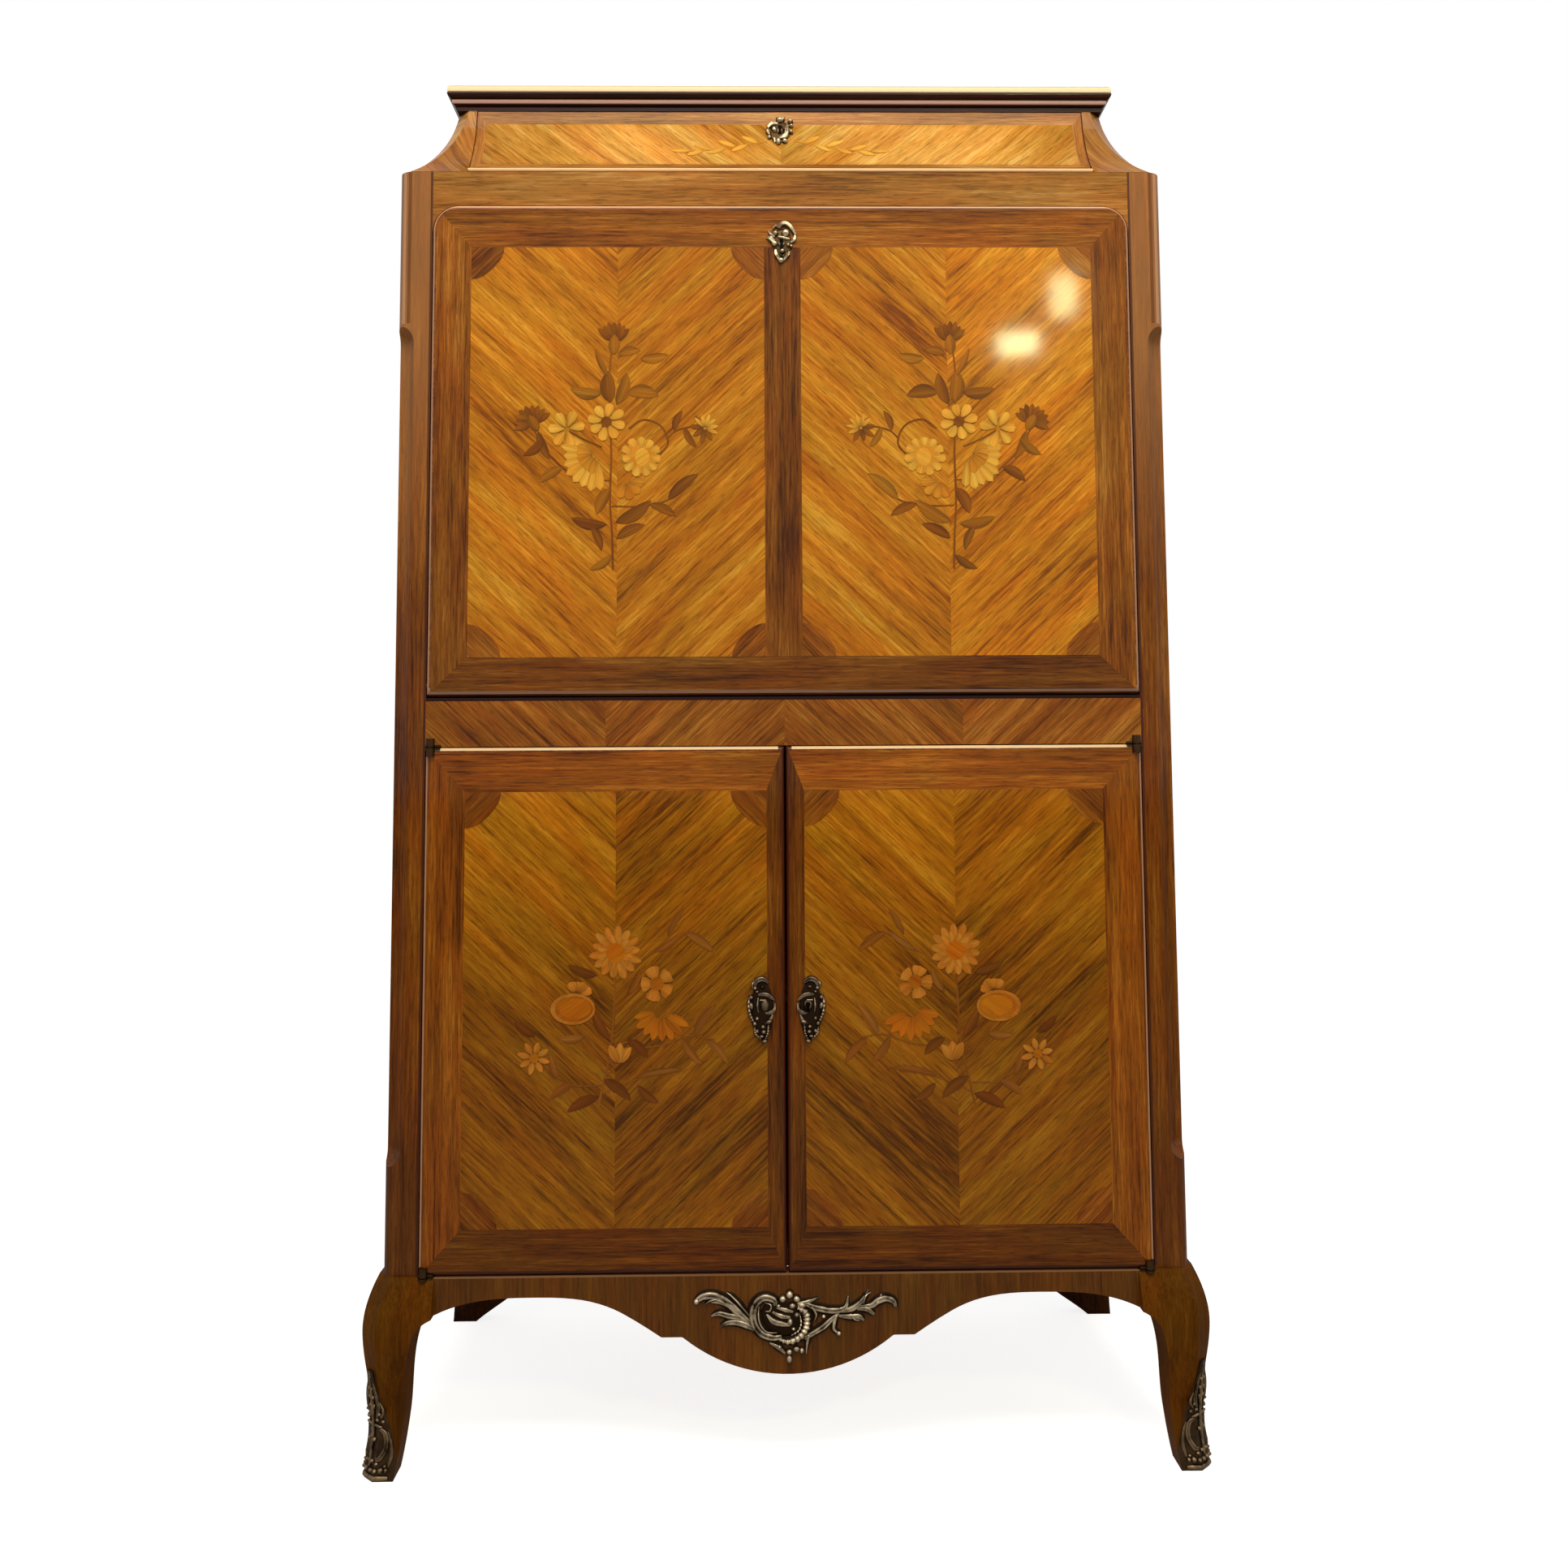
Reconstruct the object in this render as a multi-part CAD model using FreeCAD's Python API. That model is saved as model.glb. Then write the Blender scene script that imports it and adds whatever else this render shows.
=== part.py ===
import FreeCAD
import Part
import math
import os

# Secretaire with a fall front, a pair of doors below it and a coved frieze drawer above it.
# Lengths are in millimetres. X runs to the right, Y to the back and Z up.
# The origin lies on the floor under the middle of the whole piece.

V = FreeCAD.Vector

# Carcase
body_width = 756.0
body_depth = 378.0
side_thickness = 18.0
back_thickness = 12.0
post_width = 34.0
post_depth = 45.0
post_round = 13.0
hollow_radius = 17.0
hollow_foot = 115.0
hollow_length = 772.0
bottom_thickness = 16.0
floor_thickness = 18.0
dust_thickness = 14.0
rail_depth = 22.0
frieze_rail_depth = 32.0
stop_lip = 8.0

# Heights, from the floor up
base_height = 177.0
door_height = 489.0
mid_rail_height = 47.0
fall_height = 484.5
frieze_rail_height = 34.5
cove_rise = 84.0
neck_height = 1.0
cornice_height = 16.0
top_thickness = 8.5

# Fits
panel_gap = 1.0
meeting_gap = 1.6
drawer_gap = 0.8
stop_gap = 0.4
running_clearance = 0.05
slide_clearance = 0.2
stud_clearance = 0.4
side_play = 0.5
relief = 0.4
overrun = 5.0

# Legs
ledge_out = 4.0
knee_out = 16.0
knee_height = 130.0
ankle_out = 7.0
ankle_height = 48.0
foot_out = 10.0
leg_top_width = 54.0
bend_height = 124.0
bend_out = 18.5
ankle_width = 31.0
foot_width = 27.0
cant_top = 16.0
cant_knee = 15.0
cant_ankle = 11.0
cant_foot = 9.0
knee_slope_share = -0.5
foot_slope_share = -0.12
joint_slope_share = -2.2
bend_slope_share = -0.3
ankle_slope_share = -0.11
heel_slope_share = -0.2
bracket_reach = 58.0
bracket_rise = 36.0
bracket_out = 48.0
bracket_foot_slope_share = -1.1
bracket_slope_share = -1.15
bracket_top_slope_share = -0.2
sabot_thickness = 2.0
sabot_height = 96.0
sabot_width = 46.0
sabot_tip = 8.0

# Aprons
apron_thickness = 20.0
apron_end_depth = 34.0
apron_arch_depth = 19.0
apron_arch_place = 234.0
apron_shoulder_depth = 35.0
apron_shoulder_place = 152.0
apron_step_depth = 56.0
apron_step_outer = 117.5
apron_step_inner = 98.0
apron_step_round = 3.5
apron_drop = 90.0
apron_end_slope_share = -0.48
apron_shoulder_slope_share = 0.55
apron_step_slope_share = 0.66

# Cove, cornice and top
cove_width = 66.7
cove_recess = 46.0
cove_hollow = 8.0
cove_cant = 12.0
cornice_out = 8.5
cornice_rail = 45.0
top_round = 5.0
top_under_round = 2.0
cornice_shares = [(0.0, 0.3), (0.5, 0.6), (0.5, 0.68), (1.0, 1.0)]
ovolo_shares = [(0.38, 0.36), (0.9, 0.78)]

# Frieze drawer
drawer_neck = 18.0
drawer_lip = 4.4
drawer_lip_set = 1.0
drawer_board = 10.0
drawer_side_height = 60.0
drawer_bottom_thickness = 6.0
drawer_bottom_rise = 5.0
drawer_groove = 5.0
drawer_rear_gap = 6.0

# Fall front
fall_thickness = 22.0
fall_corner = 25.0
panel_proud = 4.0
edge_round = 4.0
fall_pin_set = 9.0
fall_pin_radius = 3.0
fall_pin_length = 14.0
pivot_plate_thickness = 3.0
pivot_plate_width = 9.0
pivot_plate_length = 40.0
leather_thickness = 0.8
leather_margin = 45.0
leather_head = 62.0

# Slotted stays of the fall
stay_radius = 160.0
stay_pin_rise = 11.0
stud_angle = 24.0
stay_inset = 7.0
stay_thickness = 3.0
stay_width = 14.0
stay_tail = 7.0
stay_pin_radius = 3.0
stay_head_radius = 5.5
stay_head_thickness = 2.0
bracket_ear = 3.5
bracket_plate = 2.0
bracket_length = 34.0
bracket_width = 12.0

# Doors and their pivot hinges
door_thickness = 20.0
hinge_inset = 5.0
hinge_out = 1.0
knuckle_radius = 4.0
knuckle_height = 8.0
door_pin_radius = 1.8
door_pin_length = 6.0
leaf_thickness = 2.0
leaf_reach = 9.0
leaf_depth = 18.0

# Locks, the same in drawer, fall and door
lock_width = 56.0
lock_height = 44.0
lock_depth = 11.0
bolt_width = 18.0
bolt_thickness = 4.0
bolt_length = 32.0
bolt_throw = 7.0
bolt_recess = 0.5
keyhole_radius = 2.2
keyhole_slot = 2.4
keyhole_length = 8.0

# Bronze mounts
fall_keyhole_drop = 33.0
drawer_keyhole_drop = 20.0
door_keyhole_set = 23.0
door_keyhole_drop = 248.0
fall_plate_width = 33.0
fall_plate_height = 45.0
door_plate_width = 26.0
door_plate_height = 66.0
drawer_plate_width = 30.0
plate_thickness = 6.0
plate_edge = 2.0
fall_plate_shares = [(0.36, 0.92), (0.62, 0.66), (0.58, 0.4), (0.92, 0.2), (1.0, -0.1),
                     (0.72, -0.36), (0.62, -0.64), (0.3, -0.9)]
door_plate_shares = [(0.46, 0.84), (0.5, 0.58), (0.92, 0.36), (1.0, 0.06), (0.66, -0.18),
                     (0.84, -0.44), (0.5, -0.68), (0.26, -0.9)]
rosette_lobes = 8
rosette_depth_share = 0.1
mount_width = 192.0
mount_height = 66.0
mount_thickness = 6.0
mount_place = 9.0
mount_drop = 48.0
mount_ring_radius = 17.0
mount_ring_width = 6.0
mount_ring_height = 4.0
mount_ring_shares = [(-0.24, 0.16), (-0.04, -0.02)]
mount_left_shares = [(-0.36, -0.12), (-0.5, 0.3), (-0.74, 0.84), (-0.98, 0.6), (-0.86, 0.24),
                     (-0.7, 0.12), (-0.72, -0.12), (-0.5, -0.16), (-0.3, -0.42)]
mount_right_shares = [(0.1, 0.66), (0.28, 0.86), (0.34, 0.52), (0.52, 0.88), (0.6, 0.56),
                      (0.72, 0.98), (0.84, 0.76), (1.0, 0.6), (0.84, 0.3), (0.62, 0.06),
                      (0.44, -0.1), (0.16, -0.5), (0.08, -0.9), (0.02, -0.36)]
mount_drop_shares = [(-0.22, -0.44), (-0.18, -0.72), (-0.04, -1.0), (0.08, -0.76), (0.08, -0.4)]

# Cupboard
shelf_thickness = 15.0
shelf_rise = 222.0
shelf_setback = 60.0
batten_width = 14.0
batten_height = 18.0

# Nest of pigeonholes and small drawers
nest_depth = 200.0
nest_board = 10.0
nest_clearance = 7.0
nest_drawer_bay = 84.0
nest_hole_height = 150.0
nest_niche = 200.0
small_front = 12.0
small_board = 7.0
small_bottom = 5.0
small_drop = 10.0
knob_radius = 7.0
knob_length = 15.0
knob_shares = [(0.6, 0.0), (0.42, 0.3), (1.0, 0.62), (0.74, 0.92)]

# Levels and planes
root2 = math.sqrt(2)
half = body_width / 2
front = (knee_out - body_depth) / 2
back = front + body_depth
inner_back = back - back_thickness
inner_half = half - side_thickness
opening_half = half - post_width
panel_half = opening_half - panel_gap
base_top = base_height
door_bottom = base_top + panel_gap
door_top = door_bottom + door_height
mid_bottom = door_top + panel_gap
mid_top = mid_bottom + mid_rail_height
fall_bottom = mid_top + panel_gap
fall_top = fall_bottom + fall_height
frieze_bottom = fall_top + panel_gap
post_top = frieze_bottom + frieze_rail_height
cove_top = post_top + cove_rise
neck_top = cove_top + neck_height
cornice_top = neck_top + cornice_height
top = cornice_top + top_thickness
panel_face = front - panel_proud
fall_inner = panel_face + fall_thickness
door_inner = panel_face + door_thickness
fall_axis_y = panel_face + fall_pin_set
fall_axis_z = fall_bottom + fall_thickness / 2
floor_top = fall_axis_z + fall_inner - fall_axis_y
ceiling = post_top - dust_thickness
hinge_x = panel_half - hinge_inset
hinge_y = panel_face - hinge_out
door_swing = math.hypot(hinge_inset, door_inner - hinge_y) - (door_inner - hinge_y)
apron_face = front - ledge_out
leg_inner = half + ledge_out - leg_top_width
rear_inner = leg_inner - bracket_reach
joint_height = base_top - apron_end_depth
cove_inner = half - cove_width
drawer_half = cove_inner - drawer_gap
drawer_width = 2 * drawer_half
neck_half = half - cove_recess
drawer_foot = post_top + drawer_gap
drawer_head = neck_top - drawer_gap
drawer_back_face = front + cove_recess + drawer_neck
drawer_end = inner_back - drawer_rear_gap


def slab(x0, x1, y0, y1, z0, z1):
    """Board with square edges between two corners."""
    return Part.makeBox(x1 - x0, y1 - y0, z1 - z0, V(x0, y0, z0))


def mirrored(shape):
    """The same piece on the other side of the middle."""
    return shape.mirror(V(0, 0, 0), V(1, 0, 0))


def pair(shape):
    """A piece and its mirror image, two solids in one group."""
    return Part.makeCompound([mirrored(shape), shape])


def rod(radius, start, end):
    """Round bar between two points."""
    return Part.makeCylinder(radius, start.distanceToPoint(end), start, end - start)


def chain(points):
    """Straight edges from point to point."""
    return [Part.makeLine(a, b) for a, b in zip(points, points[1:])]


def prism(edges, sweep):
    """Closed outline drawn out along a straight line."""
    wire = Part.Wire(Part.__sortEdges__(edges))
    return Part.Face(wire).extrude(sweep)


def curve(stations, plane):
    """Smooth edges through stations of height, distance and slope, set out by plane."""
    edges = []
    for (a0, b0, m0), (a1, b1, m1) in zip(stations, stations[1:]):
        third = (a1 - a0) / 3
        bezier = Part.BezierCurve()
        bezier.setPoles([plane(a0, b0), plane(a0 + third, b0 + m0 * third),
                         plane(a1 - third, b1 - m1 * third), plane(a1, b1)])
        edges.append(bezier.toShape())
    return edges


def wavy_plate(points, depth):
    """Plate with a closed flowing outline, drawn out towards the front by depth."""
    spline = Part.BSplineCurve()
    spline.interpolate(points, PeriodicFlag=True)
    return Part.Face(Part.Wire(spline.toShape())).extrude(V(0, -depth, 0))


# Legs and base

def leg_sides(grow):
    """Outer and inner lines of a leg seen square on, as height, distance from the middle and slope."""
    outer = [(base_top, half + ledge_out + grow, knee_slope_share),
             (knee_height, half + knee_out + grow, 0),
             (ankle_height, half + ankle_out + grow, 0),
             (0, half + foot_out + grow, foot_slope_share)]
    inner = [(joint_height, leg_inner, joint_slope_share),
             (bend_height, leg_inner + bend_out, bend_slope_share),
             (ankle_height, half + ankle_out - ankle_width, ankle_slope_share),
             (0, half + foot_out - foot_width, heel_slope_share)]
    return outer, inner


def sawn_side(outer, inner, plane, sweep):
    """Leg as the saw leaves it after one cut: outline between two lines, drawn out square."""
    top_outer = plane(outer[0][0], outer[0][1])
    foot_outer = plane(outer[-1][0], outer[-1][1])
    foot_inner = plane(inner[-1][0], inner[-1][1])
    joint = plane(inner[0][0], inner[0][1])
    top_inner = plane(outer[0][0], inner[0][1])
    edges = curve(outer, plane) + curve(inner, plane)
    edges += chain([foot_outer, foot_inner]) + chain([joint, top_inner, top_outer])
    return prism(edges, sweep)


def knee_cant(grow):
    """What the cant takes off the outer corner of a front leg, from knee to foot."""
    def plane(z, w):
        return V(half + (w - leg_top_width) / root2, front - (w + leg_top_width) / root2, z)
    levels = [(base_top, ledge_out, cant_top, knee_slope_share), (knee_height, knee_out, cant_knee, 0),
              (ankle_height, ankle_out, cant_ankle, 0), (0, foot_out, cant_foot, foot_slope_share)]
    stations = [(z, root2 * out - cant / root2 + grow, root2 * slope) for z, out, cant, slope in levels]
    far = root2 * (knee_out + cant_top)
    start = stations[0]
    end = stations[-1]
    edges = curve(stations, plane)
    edges += chain([plane(end[0], end[1]), plane(-overrun, end[1]), plane(-overrun, far),
                    plane(base_top + overrun, far), plane(base_top + overrun, start[1]),
                    plane(start[0], start[1])])
    reach = root2 * leg_top_width
    return prism(edges, V(reach, reach, 0))


def front_leg_blank(grow):
    """Right front leg: two saw cuts at right angles, then the cant."""
    outer, inner = leg_sides(grow)
    y0 = front - knee_out - overrun
    x0 = leg_inner - overrun
    side = sawn_side(outer, inner, lambda z, x: V(x, y0, z), V(0, leg_top_width + knee_out + overrun, 0))
    turned = sawn_side(outer, inner, lambda z, x: V(x0, front + half - x, z),
                       V(leg_top_width + knee_out + overrun, 0, 0))
    return side.common(turned).cut(knee_cant(grow))


def front_leg():
    """Right front leg with the housing for the lower hinge leaf of the door."""
    return front_leg_blank(0).cut(hinge_leaf(base_top - leaf_thickness, base_top + overrun))


def rear_leg():
    """Right rear leg, shaped at the side, flat at the back and spread to a bracket inside."""
    outer, inner = leg_sides(0)
    heel = half + foot_out - foot_width
    bracket = [(joint_height, rear_inner, bracket_top_slope_share),
               (bracket_rise, heel - bracket_out, bracket_slope_share),
               (0, heel, bracket_foot_slope_share)]
    side = sawn_side(outer, bracket, lambda z, x: V(x, back - leg_top_width, z), V(0, leg_top_width, 0))
    straight = [(z, back, 0) for z, x, slope in outer]
    deep = [(z, back - leg_top_width + x - leg_inner, slope) for z, x, slope in inner]
    x0 = rear_inner - overrun
    sweep = V(bracket_reach + leg_top_width + knee_out + overrun, 0, 0)
    turned = sawn_side(straight, deep, lambda z, y: V(x0, y, z), sweep)
    return side.common(turned)


def sabot():
    """Bronze shoe on the outer corner of the right front foot, narrowing to a tip up the ankle."""
    shell = front_leg_blank(sabot_thickness).cut(front_leg_blank(0))

    def plane(e, z):
        return V(half + (e - leg_top_width) / root2, front + (e + leg_top_width) / root2, z)
    corners = [plane(-sabot_width / 2, 0), plane(sabot_width / 2, 0), plane(sabot_tip / 2, sabot_height),
               plane(-sabot_tip / 2, sabot_height), plane(-sabot_width / 2, 0)]
    reach = root2 * leg_top_width
    return shell.common(prism(chain(corners), V(reach, -reach, 0)))


def apron_line():
    """Lower edge of half the front apron, from the leg to the step."""
    return [(leg_inner, base_top - apron_end_depth, apron_end_slope_share),
            (apron_arch_place, base_top - apron_arch_depth, 0),
            (apron_shoulder_place, base_top - apron_shoulder_depth, apron_shoulder_slope_share),
            (apron_step_outer, base_top - apron_step_depth, apron_step_slope_share)]


def front_apron():
    """Shaped apron: an arch beside each leg, a step and a hanging lobe in the middle."""
    step = base_top - apron_step_depth
    edges = []
    for side in (-1, 1):
        def plane(x, z):
            return V(side * x, apron_face, z)
        edges += curve(apron_line(), plane)
        edges += chain([plane(apron_step_outer, step), plane(apron_step_inner, step)])
        edges += chain([plane(leg_inner, base_top - apron_end_depth), plane(leg_inner, base_top)])
    edges.append(Part.Arc(V(-apron_step_inner, apron_face, step), V(0, apron_face, base_top - apron_drop),
                          V(apron_step_inner, apron_face, step)).toShape())
    edges += chain([V(-leg_inner, apron_face, base_top), V(leg_inner, apron_face, base_top)])
    board = prism(edges, V(0, apron_thickness, 0))
    corners = [e for e in board.Edges if all(abs(v.Z - step) < relief for v in e.Vertexes)
               and e.BoundBox.YLength > apron_thickness - relief and e.BoundBox.XLength < relief]
    return board.makeFillet(apron_step_round, corners)


def side_apron():
    """Right side apron with one shallow arch."""
    x0 = half + ledge_out - apron_thickness
    y0 = apron_face + leg_top_width
    y1 = back - leg_top_width
    foot = base_top - apron_end_depth
    crown = base_top - apron_arch_depth

    def plane(y, z):
        return V(x0, y, z)
    stations = [(y0, foot, -apron_end_slope_share), ((y0 + y1) / 2, crown, 0),
                (y1, foot, apron_end_slope_share)]
    edges = curve(stations, plane)
    edges += chain([plane(y0, foot), plane(y0, base_top), plane(y1, base_top), plane(y1, foot)])
    return prism(edges, V(apron_thickness, 0, 0))


def rear_apron():
    """Plain rail between the rear legs."""
    return slab(-rear_inner, rear_inner, back - apron_thickness, back,
                base_top - apron_end_depth, base_top)


def mount_leaf(shares):
    """One spray of the apron mount, cut from plate."""
    middle = base_top - mount_drop
    points = [V(mount_place + x * mount_width / 2, apron_face, middle + z * mount_height / 2)
              for x, z in shares]
    return wavy_plate(points, mount_thickness / 2)


def apron_mount():
    """Bronze mount: two C scrolls, a spray to each side and a drop below."""
    middle = base_top - mount_drop
    body = mount_leaf(mount_left_shares)
    body = body.fuse([mount_leaf(mount_right_shares), mount_leaf(mount_drop_shares)])
    for x, z in mount_ring_shares:
        centre = V(mount_place + x * mount_width / 2, apron_face, middle + z * mount_height / 2)
        ring = Part.makeCylinder(mount_ring_radius, mount_thickness, centre, V(0, -1, 0))
        bore_depth = mount_thickness - mount_ring_height / 2
        bore = Part.makeCylinder(mount_ring_radius - mount_ring_width, bore_depth,
                                 centre - V(0, mount_ring_height / 2, 0), V(0, -1, 0))
        body = body.fuse(ring.cut(bore))
    return body.removeSplitter()


# Carcase

def clear_of_posts(board):
    """Board notched round the front posts."""
    notch = slab(opening_half, half, front, front + post_depth, base_top, post_top)
    return board.cut(notch).cut(mirrored(notch))


def front_post():
    """Right front post: rounded outer corner with a stopped hollow, housed for the pivot of the fall."""
    block = slab(opening_half, half, front, front + post_depth, base_top, post_top)
    corner = [e for e in block.Edges
              if all(abs(v.X - half) + abs(v.Y - front) < relief for v in e.Vertexes)]
    block = block.makeFillet(post_round, corner)
    low = V(half, front, base_top + hollow_foot)
    high = V(half, front, base_top + hollow_foot + hollow_length)
    hollow = rod(hollow_radius, low, high)
    hollow = hollow.fuse([Part.makeSphere(hollow_radius, low), Part.makeSphere(hollow_radius, high)])
    return block.cut(hollow.removeSplitter()).cut(pivot_plate(opening_half - overrun,
                                                              opening_half + pivot_plate_thickness))


def side_panel():
    """Right side of the carcase."""
    return slab(inner_half, half, front + post_depth, back, base_top, post_top)


def back_panel():
    """Back of the carcase with the narrower part behind the drawer."""
    lower = slab(-inner_half, inner_half, inner_back, back, base_top, post_top)
    upper = slab(-cove_inner, cove_inner, inner_back, back, post_top, neck_top)
    return lower.fuse(upper).removeSplitter()


def bottom_board():
    """Floor of the cupboard, which the doors close against."""
    stop = door_inner + door_swing + stop_gap
    board = slab(-inner_half, inner_half, stop, inner_back, base_top, base_top + bottom_thickness)
    return clear_of_posts(board)


def mid_rail():
    """Rail between the fall and the doors, housed for the upper hinge leaves."""
    rail = slab(-opening_half, opening_half, front, front + rail_depth, mid_bottom, mid_top)
    housing = hinge_leaf(mid_bottom - overrun, mid_bottom + leaf_thickness)
    housing = housing.fuse(slab(hinge_x, opening_half, hinge_y, hinge_y + leaf_depth,
                                mid_bottom - overrun, mid_bottom + leaf_thickness))
    knuckle = rod(knuckle_radius + relief, V(hinge_x, hinge_y, mid_bottom - overrun),
                  V(hinge_x, hinge_y, mid_bottom + knuckle_height + relief))
    for tool in (housing, knuckle):
        rail = rail.cut(tool).cut(mirrored(tool))
    return rail


def writing_floor():
    """Floor of the writing compartment, level with the open fall."""
    board = slab(-inner_half, inner_half, fall_inner + stop_gap, inner_back,
                 floor_top - floor_thickness, floor_top)
    return clear_of_posts(board)


def frieze_rail():
    """Rail over the fall with rounded lower corners, a stop lip behind and a mortise for the bolt."""
    rail = slab(-opening_half, opening_half, front, front + frieze_rail_depth,
                fall_top - fall_corner, post_top)
    hole = fall_outline(panel_half + panel_gap, fall_bottom, frieze_bottom, fall_corner + panel_gap,
                        front - overrun, fall_inner + stop_gap)
    under = slab(-opening_half, opening_half, fall_inner + stop_gap, front + frieze_rail_depth,
                 fall_top - fall_corner, fall_top - stop_lip)
    mortise = bolt_mortise().translated(V(0, fall_inner, fall_top))
    return rail.cut(hole).cut(under).cut(mortise)


def dust_board():
    """Board that the drawer runs on, and the ceiling of the writing compartment."""
    board = slab(-inner_half, inner_half, front + frieze_rail_depth, inner_back, ceiling, post_top)
    return clear_of_posts(board)


def cove_inset(rise):
    """How far in the cove lies at a height above the posts, on a circle hollowed from its chord."""
    chord = math.hypot(cove_recess, cove_rise)
    radius = chord ** 2 / (8 * cove_hollow) + cove_hollow / 2
    off = (radius - cove_hollow) / chord
    centre_in = cove_recess / 2 - off * cove_rise
    centre_up = cove_rise / 2 + off * cove_recess
    return centre_in + math.sqrt(radius ** 2 - (rise - centre_up) ** 2)


def hollow_arc(low, high, plane):
    """Circular hollow of the cove between two heights above the posts."""
    places = [plane(cove_inset(r), post_top + r) for r in (low, (low + high) / 2, high)]
    return Part.Arc(*places).toShape()


def cove_corner():
    """What the cant takes off the corner of a cove block, following the hollow."""
    reach = half - cove_inner

    def plane(t, z):
        return V(half - (t + reach) / root2, front + (t - reach) / root2, z)
    steps = 8
    levels = [cove_rise * i / steps for i in range(steps + 1)]
    points = [plane((cove_cant + 2 * cove_inset(r)) / root2, post_top + r) for r in levels]
    spline = Part.BSplineCurve()
    spline.interpolate(points)
    end = (cove_cant + 2 * cove_recess) / root2
    start = cove_cant / root2
    edges = [spline.toShape()]
    edges += chain([plane(end, cove_top), plane(end, neck_top + overrun),
                    plane(-overrun, neck_top + overrun),
                    plane(-overrun, post_top - overrun), plane(start, post_top - overrun), points[0]])
    return prism(edges, V(root2 * reach, root2 * reach, 0))


def cove_block():
    """Right end of the cove: hollow to the side, to the front and on the canted corner."""
    def side_plane(a, z):
        return V(half - a, front, z)

    def front_plane(a, z):
        return V(cove_inner, front + a, z)
    side = [hollow_arc(0, cove_rise, side_plane)]
    side += chain([side_plane(cove_recess, cove_top), side_plane(cove_recess, neck_top),
                   V(cove_inner, front, neck_top), V(cove_inner, front, post_top), side_plane(0, post_top)])
    face = [hollow_arc(0, cove_rise, front_plane)]
    face += chain([front_plane(cove_recess, cove_top), front_plane(cove_recess, neck_top),
                   front_plane(body_depth, neck_top), front_plane(body_depth, post_top),
                   front_plane(0, post_top)])
    block = prism(side, V(0, body_depth, 0)).common(prism(face, V(half - cove_inner, 0, 0)))
    return block.cut(cove_corner())


def cornice_edge(plane):
    """Moulded edge of the cornice, from the neck up and out, through plane."""
    def at(share):
        return plane(share[0] * cornice_out, neck_top + share[1] * cornice_height)
    first, second, third, last = cornice_shares
    edges = chain([plane(0, neck_top), at(first)])
    edges.append(Part.Arc(at(first), at(ovolo_shares[0]), at(second)).toShape())
    edges += chain([at(second), at(third)])
    edges.append(Part.Arc(at(third), at(ovolo_shares[1]), at(last)).toShape())
    return edges


def cornice_moulding():
    """Frame under the top with two ovolos on the front and the sides."""
    def front_plane(a, z):
        return V(-half, front + cove_recess - a, z)

    def right_plane(a, z):
        return V(neck_half + a, front, z)

    def left_plane(a, z):
        return V(-neck_half - a, front, z)
    face = cornice_edge(front_plane)
    face += chain([front_plane(cornice_out, cornice_top), V(-half, back, cornice_top),
                   V(-half, back, neck_top),
                   front_plane(0, neck_top)])
    sides = cornice_edge(right_plane) + cornice_edge(left_plane)
    sides += chain([right_plane(cornice_out, cornice_top), left_plane(cornice_out, cornice_top)])
    sides += chain([right_plane(0, neck_top), left_plane(0, neck_top)])
    block = prism(face, V(body_width, 0, 0)).common(prism(sides, V(0, body_depth, 0)))
    hole = slab(cornice_rail - neck_half, neck_half - cornice_rail, front + cove_recess + cornice_rail,
                back - cornice_rail, neck_top - overrun, cornice_top + overrun)
    mortise = bolt_mortise().translated(V(0, drawer_back_face, drawer_head))
    return block.cut(hole).cut(mortise)


def top_board():
    """Top with a rounded edge on the front and the sides."""
    edge = neck_half + cornice_out
    front_edge = front + cove_recess - cornice_out
    board = slab(-edge, edge, front_edge, back, cornice_top, top)

    def level(z):
        return [e for e in board.Edges if all(abs(v.Z - z) < relief for v in e.Vertexes)
                and not all(abs(v.Y - back) < relief for v in e.Vertexes)]
    board = board.makeFillet(top_round, level(top))
    return board.makeFillet(top_under_round, level(cornice_top))


def cupboard_shelf():
    """Loose shelf in the cupboard."""
    z0 = base_top + bottom_thickness + shelf_rise
    return slab(-inner_half, inner_half, front + shelf_setback, inner_back, z0, z0 + shelf_thickness)


def shelf_batten():
    """Batten on the right side that carries the shelf."""
    z1 = base_top + bottom_thickness + shelf_rise
    return slab(inner_half - batten_width, inner_half, front + shelf_setback, inner_back,
                z1 - batten_height, z1)


# Nest behind the fall

nest_half = panel_half - stay_inset - stay_thickness - nest_clearance
nest_inner = nest_half - nest_board
nest_front = inner_back - nest_depth
nest_shelf = floor_top + nest_drawer_bay
nest_upper = nest_shelf + nest_board + nest_hole_height
bay_inner = nest_niche / 2 + nest_board


def nest_cheek():
    """Right upright of the nest."""
    return slab(nest_inner, nest_half, nest_front, inner_back, floor_top, ceiling)


def nest_partitions():
    """Two shelves between the cheeks and the dividers that stand under each."""
    boards = []
    for z0 in (nest_shelf, nest_upper):
        boards.append(slab(-nest_inner, nest_inner, nest_front, inner_back, z0, z0 + nest_board))
    for z0, z1 in ((floor_top, nest_shelf), (nest_shelf + nest_board, nest_upper)):
        divider = slab(nest_niche / 2, bay_inner, nest_front, inner_back, z0, z1)
        boards += [mirrored(divider), divider]
    return Part.makeCompound(boards)


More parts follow.
